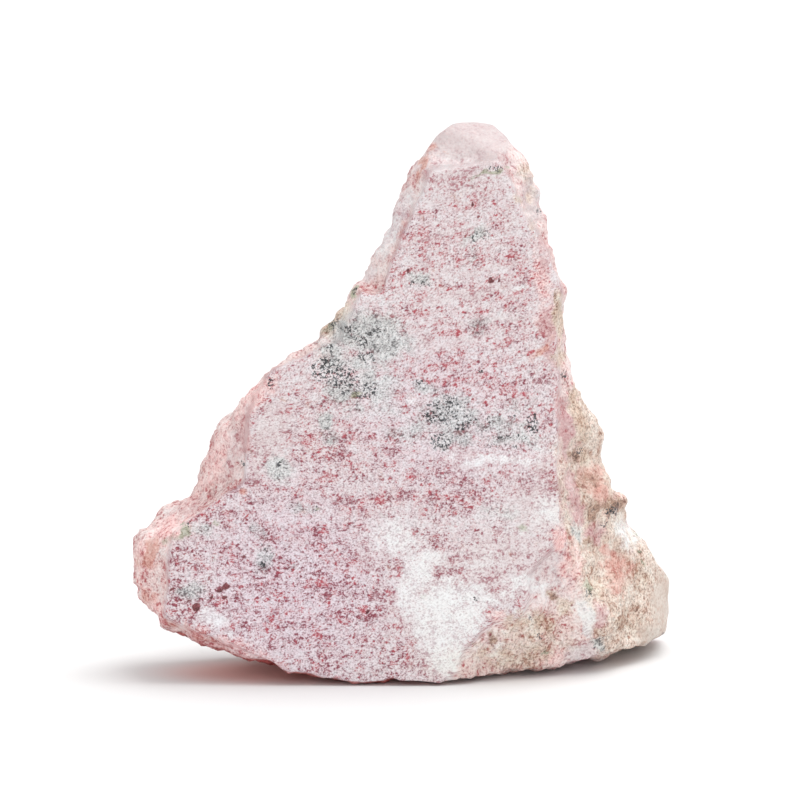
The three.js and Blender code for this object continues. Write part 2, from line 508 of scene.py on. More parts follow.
# A row holds a patch's values in the order of its fields, and the last ones are left out
# where they are the usual ones.
PATCHES: dict[Mineral, list[Patch]] = {
    Mineral.LILAC: patches(
        (-11.0, 9.0, 9.5, 10.0, 0, 1.0), (3.0, 26.0, 9.0, 8.0, 0, 0.5),
    ),
    Mineral.WARM: patches(
        (8.0, 2.0, 6.0, 2.0, 0, 0.7), (20.0, 12.0, 7.0, 14.0, 0, 0.4, 8.0, 12.0),
    ),
    Mineral.CRIMSON: patches(
        (-16.4, 18.2, 3.6, 2.2, 15, 0.6), (-17.5, 3.6, 5.0, 1.3, -17, 0.9),
        (0.6, 41.6, 3.4, 0.25, 15, 0.9, 4.0, 8.0), (-7.2, 31.4, 1.0, 0.9, 0, 1.0),
        (-0.5, 25.3, 1.8, 0.8, 0, 0.6), (-2.0, 19.6, 2.2, 0.6, 0, 0.6), (0.1, 41.2, 0.9, 0.7, 0, 0.8),
        (12.5, 40.6, 0.9, 0.8, 0, 0.8), (-23.0, 7.2, 1.5, 1.2, -20, 0.9), (-18.5, 16.8, 2.2, 1.4, 0, 0.9),
        (-17.5, 8.2, 2.6, 1.6, 0, 0.45), (-2.0, 18.4, 2.8, 1.8, 0, 0.55), (4.0, 18.3, 2.2, 1.2, 0, 0.35),
        (10.0, 31.8, 2.4, 1.5, 0, 0.45), (1.9, 48.6, 1.4, 1.2, 0, 0.5), (0.0, 42.0, 2.2, 1.6, 0, 0.45),
        (-2.8, 38.2, 1.4, 1.2, 0, 0.8), (7.0, 46.6, 1.7, 1.2, 0, 0.25), (-22.0, 11.6, 1.8, 1.4, 0, 0.6),
        (-22.8, 7.4, 1.9, 1.5, -20, 0.7), (2.5, 19.2, 3.0, 0.2, -2, 0.9), (-9.5, 27.0, 2.5, 1.2, 0, 0.35),
        (-5.5, 7.6, 6.5, 5.0, 0, 0.4), (-22.8, 8.4, 2.6, 2.8, -20, 0.9), (-25.0, 11.6, 1.4, 2.4, 0, 0.5),
        (7.5, 38.4, 5.0, 0.4, 13, 0.9, 4.0, 8.0), (3.2, 42.0, 4.0, 0.35, 15, 0.8, 4.0, 8.0),
        (9.0, 36.3, 4.5, 0.35, 13, 0.8, 4.0, 8.0), (10.0, 40.8, 3.5, 0.4, 10, 0.7, 4.0, 8.0),
        (5.5, 34.0, 5.0, 0.4, 9, 0.6, 4.0, 8.0), (-17.4, 11.0, 4.0, 3.4, 15, 0.5),
        (-17.8, 16.2, 2.4, 1.6, 0, 0.6), (-5.0, 17.5, 6.0, 2.8, 0, 0.4), (-7.0, 24.5, 5.5, 2.8, 0, 0.28),
        (11.0, 39.3, 3.4, 2.2, 5, 0.5), (6.6, 29.2, 2.2, 1.3, 0, 0.6), (1.0, 30.5, 2.4, 1.3, 0, 0.35),
        (5.1, 48.7, 1.2, 0.45, 12, 0.6), (2.7, 48.6, 0.7, 0.45, -50, 0.8), (6.9, 46.3, 0.7, 0.7, 0, 0.8),
        (7.1, 45.0, 0.45, 0.45, 0, 0.9), (4.4, 47.1, 0.45, 0.35, 0, 0.7), (3.7, 44.1, 0.5, 0.3, 0, 0.9),
        (5.1, 44.2, 0.6, 0.3, 0, 0.8), (2.5, 42.8, 1.7, 0.32, 15, 0.8), (0.2, 41.9, 1.0, 0.35, 20, 0.75),
        (5.1, 42.0, 0.8, 0.3, 0, 0.8), (3.2, 39.6, 0.6, 0.35, 0, 0.7), (5.0, 39.7, 0.6, 0.5, 0, 0.6),
        (6.8, 39.6, 0.4, 0.4, 0, 0.6), (8.7, 38.7, 0.9, 0.5, 0, 0.7), (-1.4, 38.5, 1.6, 0.8, 0, 0.6),
        (8.2, 37.5, 0.8, 0.4, 0, 0.6), (1.6, 35.4, 0.9, 0.5, 15, 1.0), (4.7, 34.4, 0.6, 0.4, 0, 0.7),
        (8.9, 34.4, 0.5, 0.4, 0, 0.7), (5.4, 32.2, 0.45, 0.5, 0, 0.9), (4.1, 30.3, 0.5, 0.45, 0, 0.7),
        (10.5, 28.8, 1.3, 0.25, 5, 0.8), (4.0, 28.3, 0.5, 0.6, 0, 0.7), (-9.7, 27.4, 1.9, 0.5, -12, 0.65),
        (-5.4, 23.7, 1.0, 0.4, 0, 0.85), (-9.2, 23.5, 0.8, 0.4, 0, 0.6), (-6.2, 21.7, 1.6, 0.3, 0, 0.6),
        (-1.5, 25.2, 1.1, 0.6, 0, 0.65), (-0.4, 26.8, 0.4, 0.35, 0, 0.8), (0.8, 20.5, 0.7, 0.5, 0, 0.7),
        (-7.1, 31.6, 0.7, 0.8, 0, 1.0), (-9.2, 31.8, 1.0, 0.5, 15, 0.8), (-15.8, 24.4, 0.5, 0.6, 0, 0.8),
        (-16.7, 16.9, 1.1, 0.5, 0, 0.8), (-16.6, 12.9, 1.5, 0.9, 0, 0.55),
        (-22.2, 11.3, 0.9, 1.0, 0, 0.7), (-21.6, 5.8, 1.5, 0.5, -15, 0.75),
        (-19.4, 4.8, 1.7, 0.45, -10, 0.75), (-9.0, 5.2, 1.9, 0.9, 0, 0.75),
        (-6.6, 11.5, 1.0, 1.2, 0, 0.6), (-9.0, 9.6, 1.6, 0.4, 8, 0.7), (-3.4, 6.8, 0.9, 0.8, 0, 0.8),
        (-3.9, 15.1, 0.55, 0.7, 0, 1.0), (-0.9, 18.6, 2.4, 0.7, -18, 0.65),
        (-3.0, 17.2, 1.6, 0.5, 0, 0.6), (6.5, 19.2, 0.5, 1.0, 30, 0.85), (6.6, 17.6, 1.4, 0.35, -5, 0.7),
        (3.1, 17.6, 1.2, 0.25, 0, 0.9), (11.6, 19.5, 0.8, 0.9, -40, 0.8),
        (5.6, 10.3, 0.9, 0.35, -20, 0.7), (6.2, 12.9, 0.7, 0.4, 0, 0.6), (8.6, 12.8, 0.35, 0.8, 0, 0.6),
        (-1.7, 3.2, 1.3, 0.9, 0, 0.65), (-6.6, 2.6, 1.3, 0.8, 0, 0.6), (9.0, 6.1, 1.0, 0.5, 0, 0.8),
        (15.0, 5.0, 0.9, 0.7, 0, 0.5, 3.0), (15.7, 12.4, 0.6, 0.4, -30, 0.7, 3.0),
    ),
    Mineral.PALE: patches(
        (5.4, 21.8, 2.0, 1.1, 0, 0.8), (-3.0, 12.4, 2.4, 1.6, 0, 0.6), (4.4, 11.6, 2.6, 1.8, 0, 0.6),
        (13.6, 18.6, 1.2, 3.0, 0, 0.6), (17.2, 3.0, 2.2, 1.3, 15, 1.0, 5.0, 9.0),
        (-0.9, 44.6, 1.3, 3.8, -27, 1.0, 4.0, 7.0), (-3.6, 39.6, 0.9, 1.6, -32, 0.6, 4.0, 6.0),
        (10.0, 11.5, 6.0, 4.5, 0, 0.8), (6.0, 37.3, 4.6, 0.45, 13, 1.1, 4.0, 8.0),
        (9.6, 35.1, 4.2, 0.4, 13, 1.0, 4.0, 8.0), (3.6, 43.2, 3.6, 0.4, 16, 0.9, 4.0, 8.0),
        (5.0, 32.7, 4.4, 0.4, 9, 0.9, 3.0, 8.0), (7.5, 39.6, 4.0, 0.35, 13, 0.8, 4.0, 8.0),
        (-16.2, 22.6, 1.6, 3.2, -12, 0.6), (6.0, 48.6, 5.4, 2.4, 0, 0.7, 6.0, 10.0),
        (11.5, 19.8, 3.2, 1.8, 0, 0.5), (0.5, 8.0, 3.0, 4.0, 0, 0.6), (3.0, 3.0, 3.0, 2.6, 0, 0.5),
        (1.6, 33.2, 2.0, 1.6, 0, 0.6), (-13.6, 13.0, 1.6, 1.3, 0, 0.6), (13.3, 21.5, 1.0, 1.5, 0, 0.9),
        (4.0, 23.5, 2.2, 0.8, 0, 0.6), (12.2, 17.0, 3.2, 3.4, 0, 0.8),
        (16.0, 12.4, 2.8, 3.8, 0, 1.0, 4.0, 9.0, 1.4, 0.6), (6.0, 49.9, 5.4, 1.9, 0, 0.85, 6.0, 10.0),
        (10.5, 45.5, 1.6, 3.0, 0, 0.5), (19.4, 14.2, 1.4, 1.3, 0, 0.8, 8.0, 8.0),
        (-13.6, 23.2, 0.9, 3.8, -12, 0.9), (-12.4, 24.0, 2.2, 4.0, -12, 0.65),
        (-14.5, 3.2, 3.2, 0.8, -15, 0.6), (14.0, 9.7, 2.4, 0.7, 0, 0.7),
        (13.0, 46.7, 0.6, 0.7, 0, 1.0, 4.0, 6.0), (2.5, 46.5, 2.0, 1.2, 0, 0.5),
        (-22.6, 16.6, 1.6, 0.7, 30, 0.7), (7.5, 21.4, 3.0, 0.7, 3, 0.5), (-10.0, 14.0, 2.0, 1.0, 0, 0.5),
        (1.5, 40.3, 0.9, 0.4, 0, 0.7),
    ),
    Mineral.BUFF: patches(
        (21.2, 13.0, 5.4, 15.0, 15, 1.0, 9.0, 14.0, 1.35, 0.85),
        (12.2, 3.8, 4.6, 3.0, 0, 0.6, 3.0, 8.0, 1.3, 0.6), (11.8, 48.6, 0.9, 2.0, 20, 0.8, 5.0, 7.0),
        (11.3, 46.4, 1.1, 0.45, 0, 0.8), (12.4, 44.3, 0.6, 1.3, 0, 0.7),
    ),
    Mineral.CROWN: patches(
        (6.3, 53.2, 5.6, 3.6, 0, 1.1, 6.0, 10.0, 1.4, 0.3), (12.2, 46.2, 1.0, 2.6, 12, 0.8, 5.0, 8.0),
    ),
    Mineral.PEACH: patches(
        (-25.4, 9.5, 1.5, 3.2, 0, 0.6), (-20.5, 18.6, 2.0, 1.4, 30, 0.7),
        (-18.6, 21.5, 2.0, 4.6, -28, 0.8), (-14.4, 27.6, 1.3, 3.0, -42, 0.75),
        (-22.5, 15.2, 2.8, 1.8, 35, 0.9), (-25.2, 12.2, 1.3, 2.4, 0, 0.8),
        (14.8, 14.2, 1.0, 1.5, 0, 0.8, 3.0), (13.5, 37.5, 1.2, 5.2, 5, 0.65, 4.0, 8.0),
        (16.0, 11.4, 1.6, 3.6, 5, 0.6, 4.0, 8.0), (9.1, 6.4, 1.2, 0.8, 0, 0.7, 3.0),
        (14.6, 2.6, 1.8, 1.2, 0, 0.7, 3.0), (-17.0, 3.7, 6.0, 1.4, -19, 0.6),
        (-24.6, 7.6, 1.8, 3.0, 25, 0.7), (21.0, 20.0, 1.2, 2.6, 0, 0.5, 9.0, 9.0),
    ),
    Mineral.ROSE: patches(
        (1.2, 48.6, 1.0, 2.6, -20, 0.4, 4.0, 6.0), (13.9, 33.5, 0.9, 3.6, 3, 0.75, 3.0),
        (17.0, 22.0, 1.0, 2.0, 0, 0.5, 5.0, 7.0), (15.2, 25.0, 0.65, 3.8, 8, 1.0, 3.0, 5.0),
        (16.3, 18.0, 0.8, 3.4, 12, 0.85, 4.0, 6.0), (-15.2, 24.3, 0.5, 3.6, -13, 0.8),
        (18.9, 6.8, 0.9, 1.5, 0, 0.9, 6.0, 7.0), (18.2, 14.6, 1.3, 1.2, 30, 0.8, 7.0, 8.0),
        (-20.3, 17.4, 1.6, 0.6, 25, 0.7), (13.6, 41.0, 0.6, 2.6, 8, 0.7),
    ),
    Mineral.SALMON: patches(
        (20.7, 10.9, 1.8, 2.6, 12, 0.65, 9.0, 9.0), (18.4, 19.0, 1.2, 2.2, 25, 0.9, 8.0, 8.0),
        (19.2, 17.0, 1.6, 1.2, 0, 0.4, 8.0, 8.0), (17.6, 20.4, 1.2, 1.6, 0, 0.6, 7.0, 8.0),
        (1.9, 49.7, 0.25, 1.3, -12, 0.9, 5.0, 7.0), (1.4, 48.3, 0.3, 0.6, 0, 0.7, 5.0, 7.0),
        (2.3, 51.6, 0.9, 0.6, 50, 0.6), (0.2, 44.4, 0.35, 0.4, 0, 0.7), (-0.6, 43.2, 0.35, 0.3, 0, 0.7),
        (13.2, 32.1, 0.5, 1.5, -45, 0.8), (19.6, 13.0, 0.9, 0.6, -30, 1.0, 9.0, 8.0),
        (20.5, 9.3, 0.9, 0.5, -20, 0.7, 9.0, 8.0), (-24.4, 12.7, 0.6, 1.6, -12, 1.1),
        (-23.6, 13.6, 0.3, 1.1, 0, 0.8), (-25.5, 11.8, 0.4, 0.9, 0, 0.7),
        (-19.4, 20.6, 0.5, 0.7, -20, 0.8), (-20.0, 19.5, 0.35, 0.7, 0, 0.9),
        (-21.6, 5.7, 1.7, 0.6, -22, 0.5), (-19.0, 4.6, 1.9, 0.45, -15, 0.5),
        (-24.6, 8.3, 1.1, 1.3, 35, 0.55), (-7.6, 32.0, 1.0, 0.7, 0, 0.6), (-15.6, 18.5, 0.6, 0.5, 0, 0.8),
        (18.4, 20.0, 0.9, 1.3, -20, 0.7, 8.0, 8.0),
    ),
    Mineral.TAN: patches(
        (12.2, 46.9, 0.5, 0.9, 20, 0.5, 5.0, 7.0), (14.8, 35.6, 0.7, 2.6, 0, 1.0, 5.0, 7.0),
        (14.9, 31.8, 0.7, 1.6, 0, 0.6, 5.0, 7.0), (16.7, 26.0, 0.9, 3.4, 14, 1.0, 6.0, 8.0),
        (17.2, 21.8, 0.8, 1.2, 14, 0.8, 6.0, 8.0), (12.4, 6.0, 2.6, 1.7, 0, 0.8, 3.0, 7.0),
        (8.4, 3.2, 2.0, 1.5, 0, 0.6, 3.0, 7.0), (15.4, 7.4, 1.0, 1.2, 0, 0.7, 3.0, 7.0),
        (21.8, 6.2, 1.9, 2.2, 0, 0.45, 8.0, 9.0), (23.2, 10.4, 1.0, 1.6, 25, 0.6, 9.0, 9.0),
        (18.5, 9.3, 1.2, 1.1, 0, 0.75, 6.0, 8.0), (-6.5, 35.1, 1.3, 2.4, -38, 1.0, 4.0, 5.0),
        (13.2, 3.0, 1.6, 1.1, 0, 0.6, 3.0, 7.0),
    ),
    Mineral.BROWN: patches(
        (20.2, 17.3, 1.4, 1.0, 0, 1.0, 9.0, 8.0), (18.3, 17.2, 1.0, 0.8, 0, 0.8, 8.0, 8.0),
        (18.0, 16.4, 0.5, 0.9, 0, 0.95, 7.0, 8.0), (18.1, 19.4, 1.2, 1.4, 30, 0.6, 7.0, 8.0),
        (17.7, 13.9, 0.6, 0.5, -30, 1.0, 6.0, 8.0), (14.6, 36.8, 0.35, 0.9, 0, 0.9, 5.0, 7.0),
        (-5.0, 33.1, 0.8, 0.4, 0, 0.7), (8.5, 4.8, 0.6, 0.5, 0, 0.9, 3.0),
        (7.0, 4.1, 0.9, 0.3, 0, 0.6, 3.0), (23.4, 10.6, 0.35, 0.5, 0, 0.8, 9.0, 8.0),
        (22.7, 9.5, 0.6, 0.35, -20, 0.7, 9.0, 8.0), (16.2, 22.0, 0.45, 0.9, 15, 0.8, 6.0, 7.0),
        (14.3, 8.7, 0.8, 0.4, -30, 0.7, 3.0), (22.4, 7.1, 0.35, 0.25, 0, 0.8, 8.0, 8.0),
        (20.9, 6.0, 0.9, 0.5, -15, 1.3, 8.0, 8.0), (13.0, 31.8, 0.4, 0.6, 0, 0.3),
    ),
    Mineral.WHITE: patches(
        (0.6, 8.4, 1.2, 2.4, 20, 0.9), (3.6, 6.2, 3.2, 3.8, 0, 1.0), (2.6, 12.2, 1.6, 1.2, 0, 0.7),
        (6.2, 6.4, 2.4, 2.0, 0, 0.85), (3.9, 2.4, 2.0, 1.6, 0, 0.95), (11.6, 9.4, 3.4, 0.8, 8, 0.6),
        (-0.9, 43.6, 0.9, 4.4, -27, 0.6, 4.0, 8.0), (9.0, 3.6, 1.4, 0.8, 40, 0.5, 3.0),
        (8.0, 21.7, 5.6, 0.4, 0, 0.75), (8.0, 12.0, 2.0, 1.2, 0, 0.45), (-0.6, 14.0, 2.9, 1.8, 0, 0.75),
        (1.3, 10.9, 1.9, 1.9, 0, 0.95), (4.2, 8.5, 3.8, 1.8, 0, 1.0), (3.7, 4.6, 2.0, 3.0, 8, 1.05),
        (-18.2, 6.5, 1.6, 0.8, -15, 0.95), (-16.6, 5.0, 1.3, 0.6, -30, 0.65),
        (10.2, 14.8, 2.8, 0.7, 0, 0.55), (13.7, 16.8, 1.7, 1.8, 0, 0.65), (10.4, 23.6, 2.8, 0.3, 2, 0.6),
        (10.0, 26.4, 3.6, 0.28, 3, 0.65), (11.5, 10.2, 2.4, 0.35, 3, 0.75),
        (21.6, 14.5, 1.4, 2.4, 30, 0.65, 10.0, 10.0), (17.5, 6.3, 0.8, 2.2, 20, 0.9, 5.0, 8.0),
        (7.6, 7.9, 1.8, 1.4, 0, 0.75), (13.1, 22.9, 1.0, 0.9, 0, 0.55), (0.8, 27.0, 0.8, 0.5, 0, 0.6),
        (11.2, 37.9, 2.2, 0.3, 8, 0.6),
    ),
    Mineral.GREY: patches(
        (10.8, 26.8, 2.6, 1.0, 0, 0.4), (-0.4, 33.0, 2.2, 2.0, 0, 0.65), (4.6, 23.8, 2.6, 1.3, 0, 0.7),
        (10.0, 23.6, 4.0, 1.0, 0, 0.55), (-10.0, 12.0, 2.4, 2.6, 0, 0.3), (-7.0, 23.8, 1.6, 1.4, 0, 0.5),
        (-2.4, 28.6, 2.6, 1.4, 10, 0.7), (-6.6, 31.8, 2.2, 2.0, 0, 0.7), (-4.6, 33.9, 3.2, 2.0, -10, 0.8),
        (0.8, 24.4, 3.2, 1.6, 0, 0.55), (-4.6, 26.4, 1.6, 1.2, 0, 0.5), (-6.0, 30.8, 1.6, 1.2, 0, 0.6),
        (-2.0, 26.5, 2.4, 1.4, 0, 0.4), (9.0, 24.2, 4.0, 0.9, 0, 0.5), (-2.2, 33.4, 2.9, 2.4, 0, 0.95),
        (-3.6, 31.0, 2.0, 1.3, 0, 0.75), (-3.4, 29.6, 1.4, 0.9, 0, 0.85), (-6.3, 28.2, 2.1, 1.6, 0, 0.75),
        (-7.3, 25.2, 0.7, 1.0, 0, 1.0), (-7.2, 23.4, 0.9, 0.7, 0, 0.75), (-12.0, 20.7, 1.4, 1.4, 0, 0.85),
        (-13.3, 12.2, 1.2, 2.0, 0, 0.75), (-14.0, 14.8, 0.9, 0.9, 0, 0.6),
        (-20.5, 9.1, 1.6, 1.0, 20, 0.75), (-9.4, 17.0, 1.7, 0.8, 0, 0.6), (4.5, 26.1, 3.1, 2.2, 0, 0.85),
        (9.6, 25.0, 3.4, 1.0, 0, 0.6), (2.0, 28.7, 1.2, 0.8, -20, 0.7), (7.0, 43.0, 1.9, 0.8, 15, 0.7),
        (6.7, 41.2, 0.9, 1.0, 0, 0.55), (1.6, 38.9, 1.3, 1.0, 0, 0.7), (7.3, 34.3, 1.1, 1.5, 0, 0.5),
        (9.2, 16.4, 2.6, 0.9, 0, 0.45), (18.6, 4.0, 0.8, 0.8, 0, 0.9, 6.0, 8.0),
        (16.8, 14.6, 0.5, 1.0, 0, 0.75, 4.0, 6.0), (-19.2, 15.1, 1.2, 0.8, 0, 0.65),
    ),
    Mineral.OLIVE: patches(
        (8.3, 49.2, 2.0, 0.26, 13, 0.95, 4.0, 8.0), (-20.9, 14.9, 0.5, 0.9, -40, 0.95),
        (-18.0, 15.5, 0.4, 0.4, 0, 0.8), (-22.3, 14.0, 1.2, 0.6, 35, 0.5), (-4.4, 27.8, 0.7, 0.4, 0, 1.0),
        (22.2, 15.3, 0.35, 0.5, 0, 1.0, 9.0, 8.0), (22.4, 14.4, 0.4, 0.3, 0, 1.0, 9.0, 8.0),
        (23.0, 12.6, 0.4, 0.45, 0, 1.0, 9.0, 8.0), (23.4, 11.7, 0.3, 0.3, 0, 0.9, 9.0, 8.0),
        (17.8, 9.2, 0.35, 1.0, 0, 0.85, 5.0, 8.0), (13.8, 2.9, 0.25, 0.9, 10, 0.8, 3.0),
        (-7.0, 34.4, 0.6, 1.0, -45, 0.7), (-4.6, 37.8, 0.4, 0.6, 0, 0.9), (11.5, 15.1, 0.6, 0.4, 0, 0.75),
        (-8.4, 17.1, 0.4, 0.3, -40, 0.75), (1.8, 8.9, 0.8, 0.4, -20, 0.3),
    ),
    Mineral.CLEAR: patches(
        (25.2, 7.8, 1.3, 4.2, -4, 1.2, 10.0, 12.0), (23.9, 4.4, 2.0, 1.4, 10, 0.9, 10.0, 11.0),
    ),
    Mineral.BLACK: patches(
        (-3.5, 28.3, 1.3, 0.8, 20, 0.9), (-2.5, 33.6, 2.6, 2.0, 0, 0.28), (-7.7, 30.2, 1.2, 1.0, 0, 1.2),
        (-5.8, 29.3, 1.4, 1.0, 0, 1.1), (-6.4, 30.0, 2.8, 1.6, -20, 0.7), (-4.0, 32.9, 0.8, 0.5, 0, 0.9),
        (-5.3, 34.2, 0.8, 0.5, -20, 0.9), (-3.5, 31.6, 1.7, 0.8, 0, 0.55),
        (-2.6, 33.8, 0.9, 0.3, 10, 0.9), (-6.0, 29.3, 1.5, 1.0, 0, 0.8), (-7.9, 30.0, 0.8, 0.9, 0, 1.0),
        (-5.5, 28.3, 0.9, 0.4, 0, 1.0), (-3.7, 28.5, 0.8, 0.4, 35, 1.6), (-6.9, 32.3, 0.3, 0.5, 15, 1.7),
        (-5.2, 34.2, 0.5, 0.3, -20, 1.3), (-6.6, 34.8, 0.4, 1.0, -45, 0.9),
        (-4.7, 37.8, 0.35, 0.5, 0, 1.0), (-12.65, 29.0, 0.28, 0.55, 0, 1.7),
        (-11.95, 21.2, 0.2, 0.4, 0, 1.8), (-13.5, 11.7, 0.4, 0.35, 0, 1.2),
        (-13.2, 13.5, 0.9, 0.8, 0, 0.5), (2.4, 25.8, 0.6, 0.6, 0, 1.0), (3.5, 25.5, 0.6, 0.35, 0, 1.2),
        (3.0, 27.0, 0.8, 0.35, 0, 1.2), (4.6, 27.3, 0.9, 0.5, -20, 1.0), (5.0, 25.9, 0.5, 0.3, 0, 1.0),
        (6.3, 25.5, 0.7, 0.5, 0, 1.0), (5.4, 24.8, 0.5, 0.4, 0, 1.0), (3.6, 23.4, 1.3, 0.8, 0, 1.0),
        (10.4, 23.9, 2.8, 0.3, 0, 0.7), (9.4, 23.0, 2.8, 0.25, 0, 0.65), (4.4, 26.2, 2.6, 2.1, 0, 0.45),
        (12.3, 25.1, 0.55, 1.0, 0, 1.4), (10.4, 25.8, 0.4, 0.25, 0, 1.2), (8.2, 25.6, 0.5, 0.4, 0, 0.8),
        (1.5, 29.0, 0.6, 0.4, 0, 0.9), (7.4, 30.1, 0.3, 0.2, -10, 1.7), (9.0, 49.4, 0.5, 0.25, 15, 1.6),
        (8.2, 49.5, 0.4, 0.25, 0, 0.8), (6.6, 42.7, 0.25, 0.4, -10, 1.4), (7.5, 43.0, 1.2, 0.7, 20, 0.5),
        (0.8, 38.5, 0.3, 0.3, 0, 1.2), (2.0, 38.4, 0.9, 0.35, 0, 0.7),
        (13.0, 45.4, 0.4, 0.5, 0, 0.8, 3.0), (15.3, 29.8, 0.35, 0.5, 0, 1.0, 5.0, 8.0),
        (20.0, 16.6, 0.7, 0.6, 0, 1.1, 8.0, 8.0), (19.3, 15.6, 0.5, 0.4, 0, 0.9, 8.0, 8.0),
        (17.7, 8.9, 0.3, 0.7, 0, 1.0, 5.0, 8.0), (16.8, 22.6, 0.3, 0.3, 0, 1.6, 6.0, 8.0),
        (18.6, 4.0, 0.6, 0.7, 0, 0.7, 6.0, 8.0), (25.2, 4.6, 0.25, 0.2, 20, 1.7, 10.0, 10.0),
        (6.9, 8.4, 0.3, 0.2, 0, 1.3), (13.0, 4.8, 0.4, 0.25, -30, 1.0, 3.0),
        (12.1, 6.5, 0.4, 0.3, -40, 0.9, 3.0), (-8.4, 17.1, 0.35, 0.25, -40, 0.8),
        (-20.6, 15.4, 0.3, 0.3, -40, 0.9), (-15.4, 21.3, 0.25, 0.35, 0, 1.1),
    ),
    Mineral.GARNET: patches(
        (-19.8, 7.6, 0.45, 0.45, 0, 1.5), (-16.9, 9.6, 0.35, 0.35, 0, 1.4),
        (-17.5, 9.2, 0.4, 0.2, 15, 1.1), (-17.1, 8.5, 0.26, 0.24, 0, 1.2),
        (-18.4, 8.5, 0.26, 0.22, 0, 1.1), (-15.2, 12.5, 0.28, 0.25, 0, 1.0),
        (-22.2, 9.3, 0.4, 0.2, 35, 1.0), (-20.4, 8.1, 0.25, 0.2, 0, 1.2),
        (-18.5, 10.4, 0.25, 0.35, 0, 0.9), (8.3, 38.75, 0.24, 0.38, 0, 1.2),
        (9.1, 38.8, 0.32, 0.24, -20, 1.2), (6.6, 46.0, 0.2, 0.3, 10, 1.1), (7.2, 44.8, 0.2, 0.2, 0, 1.1),
        (0.5, 39.7, 0.25, 0.35, 20, 1.0), (-3.4, 7.1, 0.2, 0.4, 0, 1.0),
        (8.4, 4.9, 0.3, 0.3, 0, 0.9, 3.0), (-11.5, 3.8, 0.3, 0.22, 0, 1.0),
    ),
    Mineral.RED: [],
}

# Spots keep nearer to their own outline than patches do.
SPOTS = (Mineral.GARNET, Mineral.BLACK)

# The edges of the cool minerals are broken up by a noise of their own.
COOL = (Mineral.WHITE, Mineral.GREY, Mineral.OLIVE)


@dataclass(frozen=True)
class Spread:
    """Where a mineral gathers by chance, on the sides and back of the stone.

    Attributes:
        size: the width of its patches.
        low: the noise where they begin.
        high: the noise where they are full.
        share: how strong they are.
        seed: what sets them apart from the other minerals' patches.
    """

    size: float
    low: float
    high: float
    share: float
    seed: Triple

    def mask(self, sheet: Sheet, place: Socket) -> Socket:
        """Where the mineral gathers, from 0 to its share."""
        return sheet.rise(sheet.noise(place + self.seed, self.size), self.low, self.high) * self.share


SPREADS: dict[Mineral, Spread] = {
    Mineral.CRIMSON: Spread(5.0, 0.50, 0.66, 0.7, (31.0, 4.0, 9.0)),
    Mineral.PALE: Spread(8.0, 0.48, 0.60, 0.9, (61.0, 4.0, 29.0)),
    Mineral.PEACH: Spread(9.0, 0.50, 0.60, 0.9, (21.0, 44.0, 9.0)),
    Mineral.SALMON: Spread(4.5, 0.58, 0.68, 0.65, (53.0, 71.0, 25.0)),
    Mineral.TAN: Spread(8.0, 0.50, 0.60, 0.9, (23.0, 7.0, 15.0)),
    Mineral.BROWN: Spread(3.5, 0.60, 0.70, 0.9, (29.0, 9.0, 55.0)),
    Mineral.WHITE: Spread(8.0, 0.58, 0.68, 0.9, (3.0, 17.0, 5.0)),
    Mineral.GREY: Spread(7.0, 0.58, 0.67, 0.8, (13.0, 27.0, 45.0)),
    Mineral.BLACK: Spread(3.5, 0.60, 0.72, 1.2, (13.0, 27.0, 45.0)),
    Mineral.OLIVE: Spread(3.0, 0.65, 0.72, 0.7, (43.0, 2.0, 25.0)),
    Mineral.GARNET: Spread(1.4, 0.70, 0.76, 1.2, (7.0, 52.0, 35.0)),
}


# ---------------------------------------------------------------- the stone's skin


